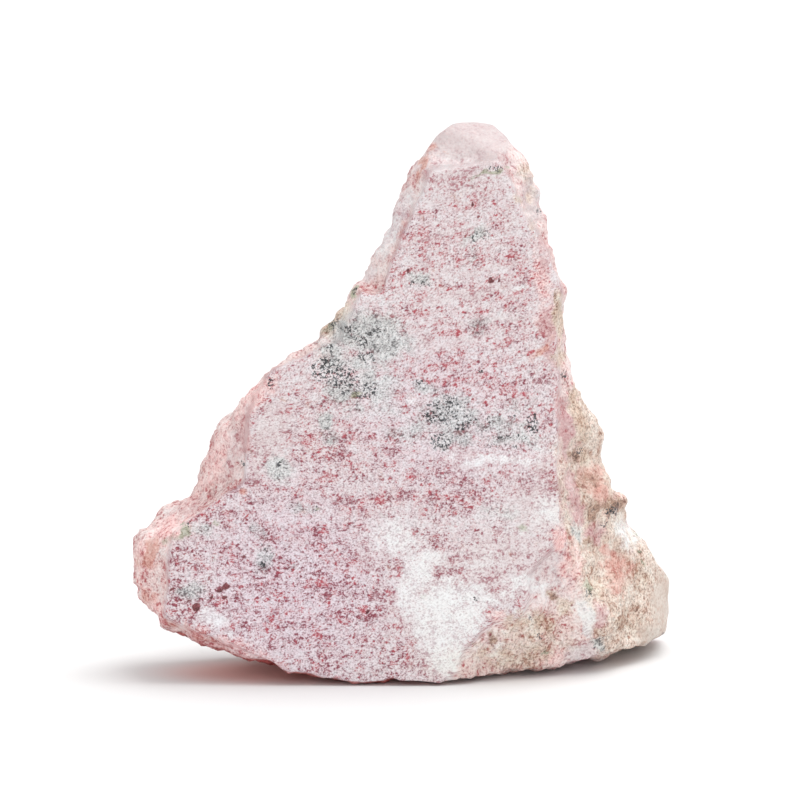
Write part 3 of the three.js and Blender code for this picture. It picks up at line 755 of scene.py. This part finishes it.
@dataclass
class StoneSkin:
    """The fine form of the stone's surface, made on a remeshed copy of its solid.

    Sizes are in millimetres. A pair says where something begins and where it is full, or
    for a warp its width and its reach.

    Attributes:
        cell: the width of the skin's small faces.
        weld: how near to each other loose corners are joined.
        rounding: how many times the broken faces are averaged.
        rim_rounding: how many times the rim between break and saw cut is averaged.
        turn_rounding: how many times the way that the faces look is averaged.
        rim: the depths behind the sawn face between which the break begins.
        under: how far a face looks down where it turns red, partly a guessed crimson underside and partly
            painted shade under the stone.
        red_and_shade_side: how far to the left the red is strongest.
        red_and_shade_left: how much stronger it is there.
        red_and_shade_all: how strong it is all over the underside.
        base_zone: the heights over which the base keeps its form.
        back_turn: how far a face looks back where minerals gather by chance.
        wide_warp: what makes the patches ragged at large.
        fine_warp: what makes them ragged in detail.
        firm_warp: what makes the spots ragged.
        swells: the broad swells of the broken faces.
        lump_warp: what makes their lumps uneven.
        reliefs: the width and height of their lumps, grains and grit.
        grain_middle: how far from a grain's middle the surface usually is, in its widths.
        sink: how far the relief is sunk back.
        ribs: the saw's lines.
        rib_stretch: how they are drawn out along themselves and back.
        plucks: the small pits that the saw left.
        break_share: the shares of break between which the relief sets in.
        calm_base: the height below which it fades out.
        calm_tip: how far to the right it fades, on the clear tip.
        calm_crown: how high up it fades, on the crown.
        calm_share: how much of it goes there.
        broken_calm: how much less the finest grains sparkle on a break.
    """

    cell: float = 0.28
    weld: float = 0.001
    rounding: int = 8
    rim_rounding: int = 5
    turn_rounding: int = 6
    rim: Pair = (0.14, 0.5)
    under: Pair = (0.75, 0.99)
    red_and_shade_side: Pair = (-8.0, 2.0)
    red_and_shade_left: float = 0.6
    red_and_shade_all: float = 0.35
    base_zone: Pair = (0.3, 3.0)
    back_turn: Pair = (0.05, 0.5)
    wide_warp: Pair = (2.2, 1.0)
    fine_warp: Pair = (0.7, 0.5)
    firm_warp: Pair = (0.6, 0.25)
    swells: Layer = Layer(4.0, 1.8, 3.0, 0.6)
    lump_warp: Pair = (1.8, 0.9)
    reliefs: tuple[Pair, ...] = ((2.4, 0.5), (1.2, 0.34), (0.6, 0.14))
    grain_middle: float = 0.53
    sink: float = 0.08
    ribs: Layer = Layer(0.85, 2 * 0.02, 1.0)
    rib_stretch: Triple = (0.05, 0.2, 1.0)
    plucks: Layer = Layer(0.7, 0.05, 2.0, 0.6)
    break_share: Pair = (0.1, 0.75)
    calm_base: float = 0.35
    calm_tip: Pair = (22.5, 24.5)
    calm_crown: Pair = (49.0, 51.5)
    calm_share: float = 0.8
    broken_calm: float = 0.3

    def build(self) -> bpy.types.Object:
        """Makes the stone's mesh.

        Returns:
            The finished object, at the origin, with its place in its mesh.
        """
        stone = self.copy_solid()
        self.remesh(stone)
        self.roughen(stone)
        self.mark_minerals(stone)
        self.keep_in_box(stone)
        bpy.ops.object.shade_smooth()
        return stone

    def copy_solid(self) -> bpy.types.Object:
        """Copies the stone's solid and joins its loose triangles.

        Returns:
            The copy.
        """
        bpy.ops.object.select_all(action="DESELECT")
        solid = frame["nodes"][STONE_NODE]
        solid.select_set(True)
        bpy.context.view_layer.objects.active = solid
        bpy.ops.object.duplicate()
        stone = bpy.context.active_object
        stone.parent = None
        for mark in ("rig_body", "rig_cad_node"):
            del stone[mark]
        bpy.ops.object.mode_set(mode="EDIT")
        bpy.ops.mesh.select_all(action="SELECT")
        bpy.ops.mesh.remove_doubles(threshold=self.weld * MM)
        bpy.ops.object.mode_set(mode="OBJECT")
        return stone

    def remesh(self, stone: bpy.types.Object) -> None:
        """Gives the stone an even skin of small faces.

        Args:
            stone: the copy of the solid.
        """
        remesh = stone.modifiers.new("even skin", "REMESH")
        remesh.mode = "VOXEL"
        remesh.voxel_size = self.cell * MM
        bpy.ops.object.modifier_apply(modifier=remesh.name)

    def roughen(self, stone: bpy.types.Object) -> None:
        """Rounds the broken faces, lines the sawn one and grains them all.

        Args:
            stone: the remeshed stone.
        """
        tree = bpy.data.node_groups.new("stone skin", "GeometryNodeTree")
        for way in ("INPUT", "OUTPUT"):
            tree.interface.new_socket("Geometry", in_out=way, socket_type="NodeSocketGeometry")
        sheet = Sheet(tree)
        entry = sheet.node("NodeGroupInput", {}, {})
        skin = Socket(sheet, entry.outputs[0])
        metres = sheet.take(sheet.node("GeometryNodeInputPosition", {}, {}), "Position")
        place = STONE_FRAME.place(metres)
        depth = SAWN.depth(sheet, place)
        broken = sheet.rise(depth, *self.rim)
        skin = self.store(sheet, skin, "broken", broken)
        soft_broken = self.blurred(sheet, broken, self.rim_rounding, "FLOAT")
        skin = self.store(sheet, skin, "near_break", soft_broken)
        rounded = self.blurred(sheet, metres, self.rounding, "FLOAT_VECTOR")
        normal = sheet.take(sheet.node("GeometryNodeInputNormal", {}, {}), "Normal")
        down = sheet.rise(sheet.dot(normal, (0, 0, -1)), *self.under)
        left = sheet.rise(sheet.dot(place, (-1, 0, 0)), *self.red_and_shade_side)
        # Faces that look down turn deep red, most on the left: partly a guessed crimson underside, partly
        # painted shade under the stone.
        skin = self.store(sheet, skin, "red", down * (left * self.red_and_shade_left + self.red_and_shade_all))
        turned = self.blurred(sheet, sheet.dot(normal, (0, 1, 0)), self.turn_rounding, "FLOAT")
        skin = self.store(sheet, skin, "turned", turned)
        off_base = sheet.rise(sheet.dot(place, (0, 0, 1)), *self.base_zone)
        moved = sheet.blend(broken * off_base, metres, rounded)
        skin = self.move_to(sheet, skin, moved)
        skin = self.raise_by(sheet, skin, self.height(sheet))
        loose = sheet.warp(sheet.warp(place, *self.wide_warp), *self.fine_warp)
        skin = self.store(sheet, skin, "loose", STONE_FRAME.sight(sheet, loose), "FLOAT_VECTOR")
        firm = sheet.warp(place, *self.firm_warp)
        skin = self.store(sheet, skin, "firm", STONE_FRAME.sight(sheet, firm), "FLOAT_VECTOR")
        back = sheet.rise(self.read(sheet, "turned"), *self.back_turn)
        for mineral, spread in SPREADS.items():
            skin = self.store(sheet, skin, mineral.name.lower(), spread.mask(sheet, loose) * back)
        last = sheet.node("NodeGroupOutput", {}, {})
        tree.links.new(skin.link, last.inputs[0])
        modifier = stone.modifiers.new("stone skin", "NODES")
        modifier.node_group = tree
        bpy.ops.object.modifier_apply(modifier=modifier.name)

    def height(self, sheet: Sheet) -> Socket:
        """How far each point is raised.

        Args:
            sheet: the skin's node tree.

        Returns:
            The height in millimetres.
        """
        metres = sheet.take(sheet.node("GeometryNodeInputPosition", {}, {}), "Position")
        place = STONE_FRAME.place(metres)
        broken = self.read(sheet, "near_break")
        loose = sheet.warp(place, *self.lump_warp)
        rough = self.swells.read(sheet, place)
        for width, height in self.reliefs:
            rough = rough + (self.grain_middle - sheet.grains(loose, width)) * height
        tip = sheet.rise(sheet.dot(place, (1, 0, 0)), *self.calm_tip)
        calm = tip + sheet.rise(sheet.dot(place, (0, 0, 1)), *self.calm_crown)
        rough = (rough - self.sink) * (1 - sheet.sum("MINIMUM", calm, 1.0) * self.calm_share)
        low = sheet.rise(sheet.dot(place, (0, 0, 1)), 0.0, self.calm_base)
        lines = SAWN.line_place(sheet, place)
        cut = self.ribs.read(sheet, lines * self.rib_stretch) + self.plucks.read(sheet, place)
        share = sheet.rise(broken, *self.break_share)
        return rough * share * low + cut * (1 - share)

    def store(self, sheet: Sheet, skin: Socket, name: str, value: Socket, kind: str = "FLOAT") -> Socket:
        """Keeps a value on the skin's points.

        Args:
            sheet: the skin's node tree.
            skin: the skin so far.
            name: the name it is kept under.
            value: the value.
            kind: its type.

        Returns:
            The skin with the value on it.
        """
        values = {"Geometry": skin, "Name": name, "Value": value}
        made = sheet.node("GeometryNodeStoreNamedAttribute", {"data_type": kind, "domain": "POINT"}, values)
        return sheet.take(made, "Geometry")

    def read(self, sheet: Sheet, name: str) -> Socket:
        """Reads a value that was kept under a name."""
        made = sheet.node("GeometryNodeInputNamedAttribute", {"data_type": "FLOAT"}, {"Name": name})
        return sheet.take(made, "Attribute")

    def blurred(self, sheet: Sheet, value: Socket, rounds: int, kind: str) -> Socket:
        """A value averaged with its neighbours'.

        Args:
            sheet: the skin's node tree.
            value: the value.
            rounds: how many times it is averaged.
            kind: its type.

        Returns:
            The averaged value.
        """
        made = sheet.node("GeometryNodeBlurAttribute", {"data_type": kind}, {"Iterations": rounds})
        sheet.tree.links.new(value.link, [s for s in made.inputs if s.enabled and s.name == "Value"][0])
        return Socket(sheet, [s for s in made.outputs if s.enabled][0])

    def move_to(self, sheet: Sheet, skin: Socket, place: Socket) -> Socket:
        """Moves each point of the skin to a place."""
        made = sheet.node("GeometryNodeSetPosition", {}, {"Geometry": skin, "Position": place})
        return sheet.take(made, "Geometry")

    def raise_by(self, sheet: Sheet, skin: Socket, height: Socket) -> Socket:
        """Raises each point of the skin along its normal.

        Args:
            sheet: the skin's node tree.
            skin: the skin so far.
            height: how far, in millimetres.

        Returns:
            The raised skin.
        """
        normal = sheet.take(sheet.node("GeometryNodeInputNormal", {}, {}), "Normal")
        values = {"Geometry": skin, "Offset": normal * (height * MM)}
        return sheet.take(sheet.node("GeometryNodeSetPosition", {}, values), "Geometry")

    def mark_minerals(self, stone: bpy.types.Object) -> None:
        """Marks on the skin's points where each mineral gathers and how much it sparkles.

        Args:
            stone: the stone with its finished skin.
        """
        marks = stone.data.attributes
        points = len(stone.data.vertices)
        sights = {name: np.empty(points * 3) for name in ("loose", "firm")}
        for name, sight in sights.items():
            marks[name].data.foreach_get("vector", sight)
            marks.remove(marks[name])
        broken = np.empty(points)
        marks["broken"].data.foreach_get("value", broken)
        sparkle = 1.0 - self.broken_calm * broken
        for mineral, patches in PATCHES.items():
            sight = sights["firm" if mineral in SPOTS else "loose"].reshape(-1, 3)
            name = mineral.name.lower()
            mask = np.zeros(points)
            if name in marks:
                marks[name].data.foreach_get("value", mask)
            else:
                marks.new(name, "FLOAT", "POINT")
            for patch in patches:
                mask = np.maximum(mask, patch.mask(sight))
            marks[name].data.foreach_set("value", mask)
            if mineral in SPARKLE:
                sparkle += np.clip(mask, 0.0, 1.0) * (SPARKLE[mineral] - sparkle)
        marks.new("sparkle", "FLOAT", "POINT").data.foreach_set("value", sparkle)

    def keep_in_box(self, stone: bpy.types.Object) -> None:
        """Presses the few points that stand proud of the solid's box back to it.

        Args:
            stone: the stone with its finished skin.
        """
        lowest, highest = cad_box
        for vertex in stone.data.vertices:
            for axis in range(3):
                vertex.co[axis] = min(max(vertex.co[axis], lowest[axis]), highest[axis])


class Edge(Enum):
    """How a mineral meets what lies around it."""

    SOFT = "it fades"
    FIRM = "it ends at once"
    SPECKS = "it breaks up into specks"


@dataclass(frozen=True)
class Tones:
    """A mineral's colours.

    Attributes:
        deep: its deepest grains.
        body: most of it.
        light: its lightest grains.
        edge: how it meets what lies around it.
    """

    deep: Colour
    body: Colour
    light: Colour
    edge: Edge = Edge.SOFT


SAWN_ROCK = Tones(linear(142, 66, 80), linear(214, 199, 202), linear(222, 215, 217))
CORAL_ROCK = Tones(linear(178, 76, 86), linear(214, 199, 201), linear(221, 215, 217))
BROKEN_ROCK = Tones(linear(172, 84, 88), linear(224, 202, 199), linear(230, 218, 216))

TONES: dict[Mineral, Tones] = {
    Mineral.PALE: Tones(linear(176, 132, 138), linear(217, 204, 205), linear(225, 217, 218)),
    Mineral.BUFF: Tones(linear(168, 128, 110), linear(213, 195, 184), linear(226, 217, 209)),
    Mineral.CROWN: Tones(linear(188, 164, 166), linear(203, 188, 188), linear(209, 197, 196)),
    Mineral.PEACH: Tones(linear(192, 104, 106), linear(236, 202, 199), linear(241, 221, 218)),
    Mineral.ROSE: Tones(linear(166, 98, 102), linear(206, 171, 171), linear(219, 196, 196)),
    Mineral.SALMON: Tones(linear(176, 104, 94), linear(212, 165, 155), linear(224, 192, 184)),
    Mineral.TAN: Tones(linear(154, 112, 90), linear(207, 186, 170), linear(220, 209, 197)),
    Mineral.BROWN: Tones(linear(88, 62, 52), linear(172, 139, 122), linear(203, 184, 170)),
    Mineral.WHITE: Tones(linear(208, 194, 197), linear(232, 230, 230), linear(236, 236, 236)),
    Mineral.GREY: Tones(linear(110, 109, 109), linear(197, 196, 195), linear(215, 215, 214)),
    Mineral.OLIVE: Tones(linear(94, 92, 70), linear(166, 164, 144), linear(192, 190, 176)),
    Mineral.CLEAR: Tones(linear(196, 174, 162), linear(210, 197, 188), linear(215, 205, 197)),
    Mineral.BLACK: Tones(linear(36, 36, 38), linear(76, 76, 78), linear(134, 134, 136), Edge.SPECKS),
    Mineral.GARNET: Tones(linear(88, 40, 44), linear(124, 62, 66), linear(150, 90, 94), Edge.FIRM),
    # The deep red of faces that look down: partly a guessed crimson underside, partly painted shade.
    Mineral.RED: Tones(linear(130, 52, 48), linear(180, 90, 86), linear(202, 132, 126)),
}

CASTS: dict[Mineral, Colour] = {
    Mineral.LILAC: (1.0, 0.965, 1.02),
    Mineral.WARM: (1.0, 0.99, 0.93),
}

# How strongly each mineral's finest grains are lightened and darkened in its colour: partly grain, partly
# painted glints.
SPARKLE: dict[Mineral, float] = {
    Mineral.PALE: 0.3,
    Mineral.BUFF: 1.45,
    Mineral.CROWN: 0.12,
    Mineral.PEACH: 0.7,
    Mineral.ROSE: 0.4,
    Mineral.SALMON: 0.4,
    Mineral.TAN: 1.4,
    Mineral.WHITE: 0.5,
    Mineral.GREY: 1.5,
    Mineral.CLEAR: 0.2,
    Mineral.BLACK: 1.5,
}


@dataclass(frozen=True)
class StoneFinish:
    """The colours and grain of the stone.

    The tone is what the grains' noises add up to: the lower it is, the deeper the pink. A
    pair says where something begins and where it is full, or for a warp its width and its
    reach. Where a strength is a fraction, the lower number is how far its noise usually
    strays from the middle.

    Attributes:
        sawn_stretch: how the grains are drawn out along the saw's lines, back and across.
        broken_stretch: how much wider the grains are on a break, as a share of the place.
        dots: the deep pink grains.
        wash: the pink clouds.
        saw: the saw's lines.
        saw_stretch: how they are drawn out along themselves and back.
        saw_tone: how far they move the tone.
        sugar: the finest grains.
        sugar_tone: how far they move the tone.
        sugar_rise: the noise between which they go from dark to light.
        sugar_middle: their usual light.
        sugar_depth: how far they differ in light.
        light: the light of the stone as a whole.
        grain: the width of the single crimson grains.
        grain_seed: what sets them apart from the finest grains.
        grain_warp: what makes them uneven.
        grain_edge: the distances from a grain's middle between which it ends.
        grain_depth: how far it moves the tone.
        chosen: where there are such grains.
        chosen_rise: the noise between which they set in.
        contrast: how strong the tone is at large.
        low_zone: the heights between which it grows stronger downwards.
        low_contrast: how much stronger it gets.
        broken_contrast: how much weaker it is on a break.
        crowding: how much deeper the pink is where crimson gathers.
        dusk: the tones between which the deepest grains end.
        dawn: the tones between which the lightest begin.
        coral: where the pink turns to coral.
        coral_zone: the heights between which it does so more often.
        coral_high: how much more often.
        coral_rise: the noise between which it turns.
        warm_edge: what breaks up the edges of the warm minerals.
        cool_edge: what breaks up those of the cool ones.
        soft_rise: the shares between which a soft edge goes over.
        specks: what breaks a mineral up into specks.
        specks_middle: their usual strength.
        firm_rise: the shares between which a firm edge goes over.
        bump_sugar: the finest relief.
        bump_saw: the relief of the saw's lines.
        bump_grain: the width of the grains' relief.
        bump_warp: what makes it uneven.
        bump_heights: how high these three are.
        bump_strength: how much of the relief shows.
        roughness: how matt the stone is.
        index: how strongly it bends light.
        glow: how much light passes under its skin.
        glow_reach: how far each colour of it goes.
        glow_size: how deep it goes, in millimetres.
    """

    sawn_stretch: Triple = (0.82, 1.0, 1.0)
    broken_stretch: float = 0.7
    dots: Layer = Layer(0.44, 0.6 / 0.064, 2.0, 0.9)
    wash: Layer = Layer(2.4, 0.4 / 0.064, 2.0, 0.8, (4.0, 2.0, 8.0))
    saw: Layer = Layer(0.75)
    saw_stretch: Triple = (0.06, 0.2, 1.0)
    saw_tone: float = 3.8
    sugar: Layer = Layer(0.16, 1.0, 1.0, 0.8, (3.0, 7.0, 9.0))
    sugar_tone: float = 0.65 / 0.085
    sugar_rise: Pair = (0.18, 0.62)
    sugar_middle: float = 0.77
    sugar_depth: float = 0.42
    light: float = 0.95
    grain: float = 0.38
    grain_seed: Triple = (2.0, 5.0, 1.0)
    grain_warp: Pair = (0.5, 0.12)
    grain_edge: Pair = (0.55, 0.2)
    grain_depth: float = 2.8
    chosen: Layer = Layer(0.8, 1.0, 1.0, 0.8, (6.0, 8.0, 2.0))
    chosen_rise: Pair = (0.42, 0.7)
    contrast: float = 1.09
    low_zone: Pair = (20.0, 6.0)
    low_contrast: float = 0.25
    broken_contrast: float = 0.3
    crowding: float = 1.15
    dusk: Pair = (-4.1, 0.4)
    dawn: Pair = (0.0, 2.8)
    coral: Layer = Layer(1.0, 1.0, 1.0, 0.8, (8.0, 3.0, 1.0))
    coral_zone: Pair = (10.0, 38.0)
    coral_high: float = 0.15
    coral_rise: Pair = (0.49, 0.65)
    warm_edge: Layer = Layer(1.6, 1.6, 5.0, 0.8, (5.0, 1.0, 2.0))
    cool_edge: Layer = Layer(1.6, 1.6, 5.0, 0.8, (1.0, 9.0, 4.0))
    soft_rise: Pair = (0.15, 0.85)
    specks: Layer = Layer(0.24, 8.0, 1.0, 0.8, (7.0, 3.0, 6.0))
    specks_middle: float = 0.45
    firm_rise: Pair = (0.42, 0.72)
    bump_sugar: Layer = Layer(0.2, 1.0, 2.0, 0.8)
    bump_saw: Layer = Layer(0.5)
    bump_grain: float = 0.5
    bump_warp: Pair = (0.8, 0.2)
    bump_heights: Triple = (0.06, 0.03, 0.05)
    bump_strength: float = 0.7
    roughness: float = 0.62
    index: float = 1.5
    glow: float = 0.15
    glow_reach: Triple = (1.0, 0.55, 0.5)
    glow_size: float = 0.5

    def material(self) -> bpy.types.Material:
        """Makes the stone's material.

        Returns:
            The material.
        """
        material = bpy.data.materials.new("tugtupite")
        material.use_nodes = True
        sheet = Sheet(material.node_tree)
        metres = sheet.take(sheet.node("ShaderNodeTexCoord", {}, {}), "Object")
        place = STONE_FRAME.place(metres)
        broken = self.kept(sheet, "broken")
        lines = SAWN.line_place(sheet, place)
        streaked = sheet.blend(broken, lines * self.sawn_stretch, place * self.broken_stretch)
        values = {
            "Base Color": self.colour(sheet, place, streaked, lines, broken),
            "Roughness": self.roughness,
            "Normal": self.bump(sheet, place, streaked, lines, broken),
            "IOR": self.index,
            "Subsurface Weight": self.glow,
            "Subsurface Radius": self.glow_reach,
            "Subsurface Scale": self.glow_size * MM,
        }
        shader = sheet.node("ShaderNodeBsdfPrincipled", {}, values)
        sheet.node("ShaderNodeOutputMaterial", {}, {"Surface": sheet.take(shader, "BSDF")})
        return material

    def kept(self, sheet: Sheet, name: str) -> Socket:
        """A value that was kept on the skin."""
        return sheet.take(sheet.node("ShaderNodeAttribute", {"attribute_name": name}, {}), "Fac")

    def colour(
        self, sheet: Sheet, place: Socket, streaked: Socket, lines: Socket, broken: Socket
    ) -> Socket:
        """The stone's colour.

        Args:
            sheet: the stone's material.
            place: across, behind and height above the base.
            streaked: the place, drawn out as the grains are.
            lines: the place told along and across the saw's lines.
            broken: the share of break.

        Returns:
            The colour.
        """
        sugar = self.sugar.raw(sheet, streaked)
        dots = self.dots.read(sheet, streaked)
        wash = self.wash.read(sheet, place)
        saw = (self.saw.raw(sheet, lines * self.saw_stretch) - 0.5) * (1 - broken) * self.saw_tone
        grain = sheet.grains(sheet.warp(streaked + self.grain_seed, *self.grain_warp), self.grain)
        chosen = sheet.rise(self.chosen.raw(sheet, place), *self.chosen_rise)
        tone = dots + wash * (1 + broken) + saw + (sugar - 0.5) * self.sugar_tone
        tone = tone - sheet.rise(grain, *self.grain_edge) * chosen * self.grain_depth
        up = sheet.dot(place, (0, 0, 1))
        high = sheet.rise(up, *self.coral_zone)
        low = sheet.rise(up, *self.low_zone)
        tone = tone * (self.contrast + low * self.low_contrast - broken * self.broken_contrast)
        tone = tone - self.kept(sheet, "crimson") * self.crowding
        dusk = sheet.rise(tone, *self.dusk)
        dawn = sheet.rise(tone, *self.dawn)
        coral = sheet.rise(self.coral.raw(sheet, place) + high * self.coral_high, *self.coral_rise)
        plum = self.grained(sheet, SAWN_ROCK, dusk, dawn)
        sawn = sheet.paint(coral, plum, self.grained(sheet, CORAL_ROCK, dusk, dawn))
        rock = sheet.paint(broken, sawn, self.grained(sheet, BROKEN_ROCK, dusk, dawn))
        colour = self.with_minerals(sheet, place, rock, dusk, dawn)
        for cast, tint in CASTS.items():
            share = self.kept(sheet, cast.name.lower())
            colour = sheet.tint(colour, sheet.paint(share, (1.0, 1.0, 1.0), tint))
        # Partly grain, partly painted glints: the finest grains are made lighter and darker in the colour
        # itself.
        glint = sheet.rise(sugar, *self.sugar_rise) - self.sugar_middle
        light = glint * self.kept(sheet, "sparkle") * self.sugar_depth + self.light
        return sheet.tint(colour, light)

    def with_minerals(
        self, sheet: Sheet, place: Socket, rock: Socket, dusk: Socket, dawn: Socket
    ) -> Socket:
        """The rock's colour with each mineral laid over it in turn.

        Args:
            sheet: the stone's material.
            place: across, behind and height above the base.
            rock: the colour of the bare rock.
            dusk: how far each grain is from the deepest ones.
            dawn: how near it is to the lightest ones.

        Returns:
            The colour.
        """
        colour = rock
        warm = self.warm_edge.read(sheet, place)
        cool = self.cool_edge.read(sheet, place)
        specks = self.specks.read(sheet, place) + self.specks_middle
        for mineral, tones in TONES.items():
            kept = self.kept(sheet, mineral.name.lower())
            if tones.edge is Edge.SOFT:
                share = sheet.rise(kept + (cool if mineral in COOL else warm), *self.soft_rise)
            else:
                whole = kept if tones.edge is Edge.FIRM else kept * specks
                share = sheet.rise(whole, *self.firm_rise)
            colour = sheet.paint(share, colour, self.grained(sheet, tones, dusk, dawn))
        return colour

    def grained(self, sheet: Sheet, tones: Tones, dusk: Socket, dawn: Socket) -> Socket:
        """A mineral's colour, from its deepest to its lightest grains."""
        return sheet.paint(dawn, sheet.paint(dusk, tones.deep, tones.body), tones.light)

    def bump(
        self, sheet: Sheet, place: Socket, streaked: Socket, lines: Socket, broken: Socket
    ) -> Socket:
        """The finest relief, too small for the mesh.

        Args:
            sheet: the stone's material.
            place: across, behind and height above the base.
            streaked: the place, drawn out as the grains are.
            lines: the place told along and across the saw's lines.
            broken: the share of break.

        Returns:
            The bent normal.
        """
        sugar_height, saw_height, grain_height = self.bump_heights
        sugar = self.bump_sugar.raw(sheet, streaked)
        saw = self.bump_saw.raw(sheet, lines * self.saw_stretch) * (1 - broken)
        grain = sheet.grains(sheet.warp(place, *self.bump_warp), self.bump_grain) * broken
        height = sugar * sugar_height + saw * saw_height - grain * grain_height
        values = {"Strength": self.bump_strength, "Distance": MM, "Height": height}
        return sheet.take(sheet.node("ShaderNodeBump", {}, values), "Normal")


@dataclass
class TugtupiteStone:
    """The whole stone: one piece, in place of its solid.

    Attributes:
        skin: the form of its surface.
        finish: its colours and grain.
        name: the name of the piece.
        material_slot: the name of its material slot; not used.
    """

    skin: StoneSkin
    finish: StoneFinish
    name: str = "rough_stone"
    material_slot: str = "tugtupite"

    def build(self) -> bpy.types.Object:
        """Makes, dresses and places the stone.

        Returns:
            The stone.
        """
        stone = self.skin.build()
        stone.name = self.name
        stone.data.materials.clear()
        stone.data.materials.append(self.finish.material())
        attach(stone, "root")
        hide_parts(STONE_NODE)
        return stone


# ---------------------------------------------------------------- the studio


@dataclass(frozen=True)
class Lamp:
    """A square soft light that looks at the stone.

    Attributes:
        name: its name.
        place: where it hangs, in metres.
        size: the length of its sides, in metres.
        power: its power in watts.
    """

    name: str
    place: Triple
    size: float
    power: float

    def hang(self, aim: Triple) -> None:
        """Hangs the light.

        Args:
            aim: what it looks at, in metres.
        """
        bpy.ops.object.light_add(type="AREA", location=self.place)
        light = bpy.context.active_object
        light.name = self.name
        light.data.size = self.size
        light.data.energy = self.power
        light.rotation_euler = (Vector(aim) - Vector(self.place)).to_track_quat("-Z", "Y").to_euler()


@dataclass
class Studio:
    """A white floor, soft light from above and a little in front, and white air all round.

    Attributes:
        floor_size: the length of the floor's sides, in metres.
        floor_colour: its colour.
        floor_roughness: how matt it is.
        painted_bounce_colour: the colour of the painted reddish bounce light in the shadow under the
            stone's left side.
        painted_bounce_place: its middle, in millimetres.
        painted_bounce_size: half its width and half its depth, in millimetres.
        painted_bounce_fade: where it ends and where it is full, in half sizes.
        air: how bright the air is.
        lamps: the lights.
        aim: what they look at, in metres.
    """

    floor_size: float = 6.0
    floor_colour: Colour = linear(229, 229, 229)
    floor_roughness: float = 0.9
    painted_bounce_colour: Colour = linear(238, 200, 193)
    painted_bounce_place: Triple = (-12.5, -5.0, 0.0)
    painted_bounce_size: Pair = (8.5, 5.0)
    painted_bounce_fade: Pair = (1.6, 0.4)
    air: float = 0.8
    lamps: tuple[Lamp, ...] = (
        Lamp("overhead", (0.4, 0.14, 1.15), 1.1, 12.5),
        Lamp("front", (-0.2, -1.2, 0.5), 0.6, 3.0),
    )
    aim: Triple = (0.0, 0.0, 0.025)

    def build(self) -> None:
        """Makes the floor, the lights and the air."""
        self.lay_floor()
        for lamp in self.lamps:
            lamp.hang(self.aim)
        world = bpy.data.worlds.new("white air")
        bpy.context.scene.world = world
        world.use_nodes = True
        sheet = Sheet(world.node_tree)
        values = {"Color": (1.0, 1.0, 1.0, 1.0), "Strength": self.air}
        air = sheet.node("ShaderNodeBackground", {}, values)
        sheet.node("ShaderNodeOutputWorld", {}, {"Surface": sheet.take(air, "Background")})

    def lay_floor(self) -> None:
        """Lays the floor that the stone stands on."""
        bpy.ops.mesh.primitive_plane_add(size=self.floor_size, location=(0.0, 0.0, 0.0))
        floor = bpy.context.active_object
        floor.name = "floor"
        material = bpy.data.materials.new("white floor")
        material.use_nodes = True
        sheet = Sheet(material.node_tree)
        colour = self.floor_tones(sheet)
        values = {"Base Color": colour, "Roughness": self.floor_roughness}
        shader = sheet.node("ShaderNodeBsdfPrincipled", {}, values)
        sheet.node("ShaderNodeOutputMaterial", {}, {"Surface": sheet.take(shader, "BSDF")})
        floor.data.materials.append(material)

    def floor_tones(self, sheet: Sheet) -> Socket:
        """The floor's colour: white, with painted reddish bounce light in the shadow where the stone hangs
        over it.

        Args:
            sheet: the floor's material.

        Returns:
            The colour.
        """
        place = sheet.take(sheet.node("ShaderNodeTexCoord", {}, {}), "Object") * (1.0 / MM)
        # Painted bounce light: a reddish tint on the floor, in the shadow under the stone's left side.
        width, depth = self.painted_bounce_size
        away = (place - self.painted_bounce_place) * (1.0 / width, 1.0 / depth, 1.0)
        share = sheet.rise(sheet.length(away), *self.painted_bounce_fade)
        return sheet.paint(share, self.floor_colour, self.painted_bounce_colour)


@dataclass
class Viewpoint:
    """The camera: a long lens a little above level, straight in front of the sawn face.

    Attributes:
        distance: how far it stands from what it looks at, in metres.
        seen_width: the width that it sees there, in metres.
        sensor: the width of its sensor, in millimetres.
        nearest: how near it sees, in metres.
        target: what it looks at.
    """

    distance: float = 1.0
    seen_width: float = 76.32 * MM
    sensor: float = 36.0
    nearest: float = 0.01
    target: Vector = Vector((-0.33, -9.9, 27.47)) * MM

    def build(self) -> None:
        """Sets up the camera."""
        away = Vector((0.0, -math.cos(SIGHT_TILT), math.sin(SIGHT_TILT))) * self.distance
        bpy.ops.object.camera_add(location=self.target + away)
        camera = bpy.context.active_object
        camera.rotation_euler = (-away).to_track_quat("-Z", "Y").to_euler()
        camera.data.sensor_width = self.sensor
        camera.data.lens = self.sensor * self.distance / self.seen_width
        camera.data.clip_start = self.nearest
        bpy.context.scene.camera = camera


def main() -> None:
    """Builds the stone, the studio and the camera, in that order."""
    logging.basicConfig(level=logging.INFO, format="%(name)s: %(message)s")
    bpy.context.scene.view_settings.view_transform = "Standard"
    stone = TugtupiteStone(StoneSkin(), StoneFinish()).build()
    log.info("stone: %d points, %d faces", len(stone.data.vertices), len(stone.data.polygons))
    Studio().build()
    log.info("studio: floor, lights and air")
    Viewpoint().build()
    log.info("camera: in place")


if __name__ == "__main__":
    main()
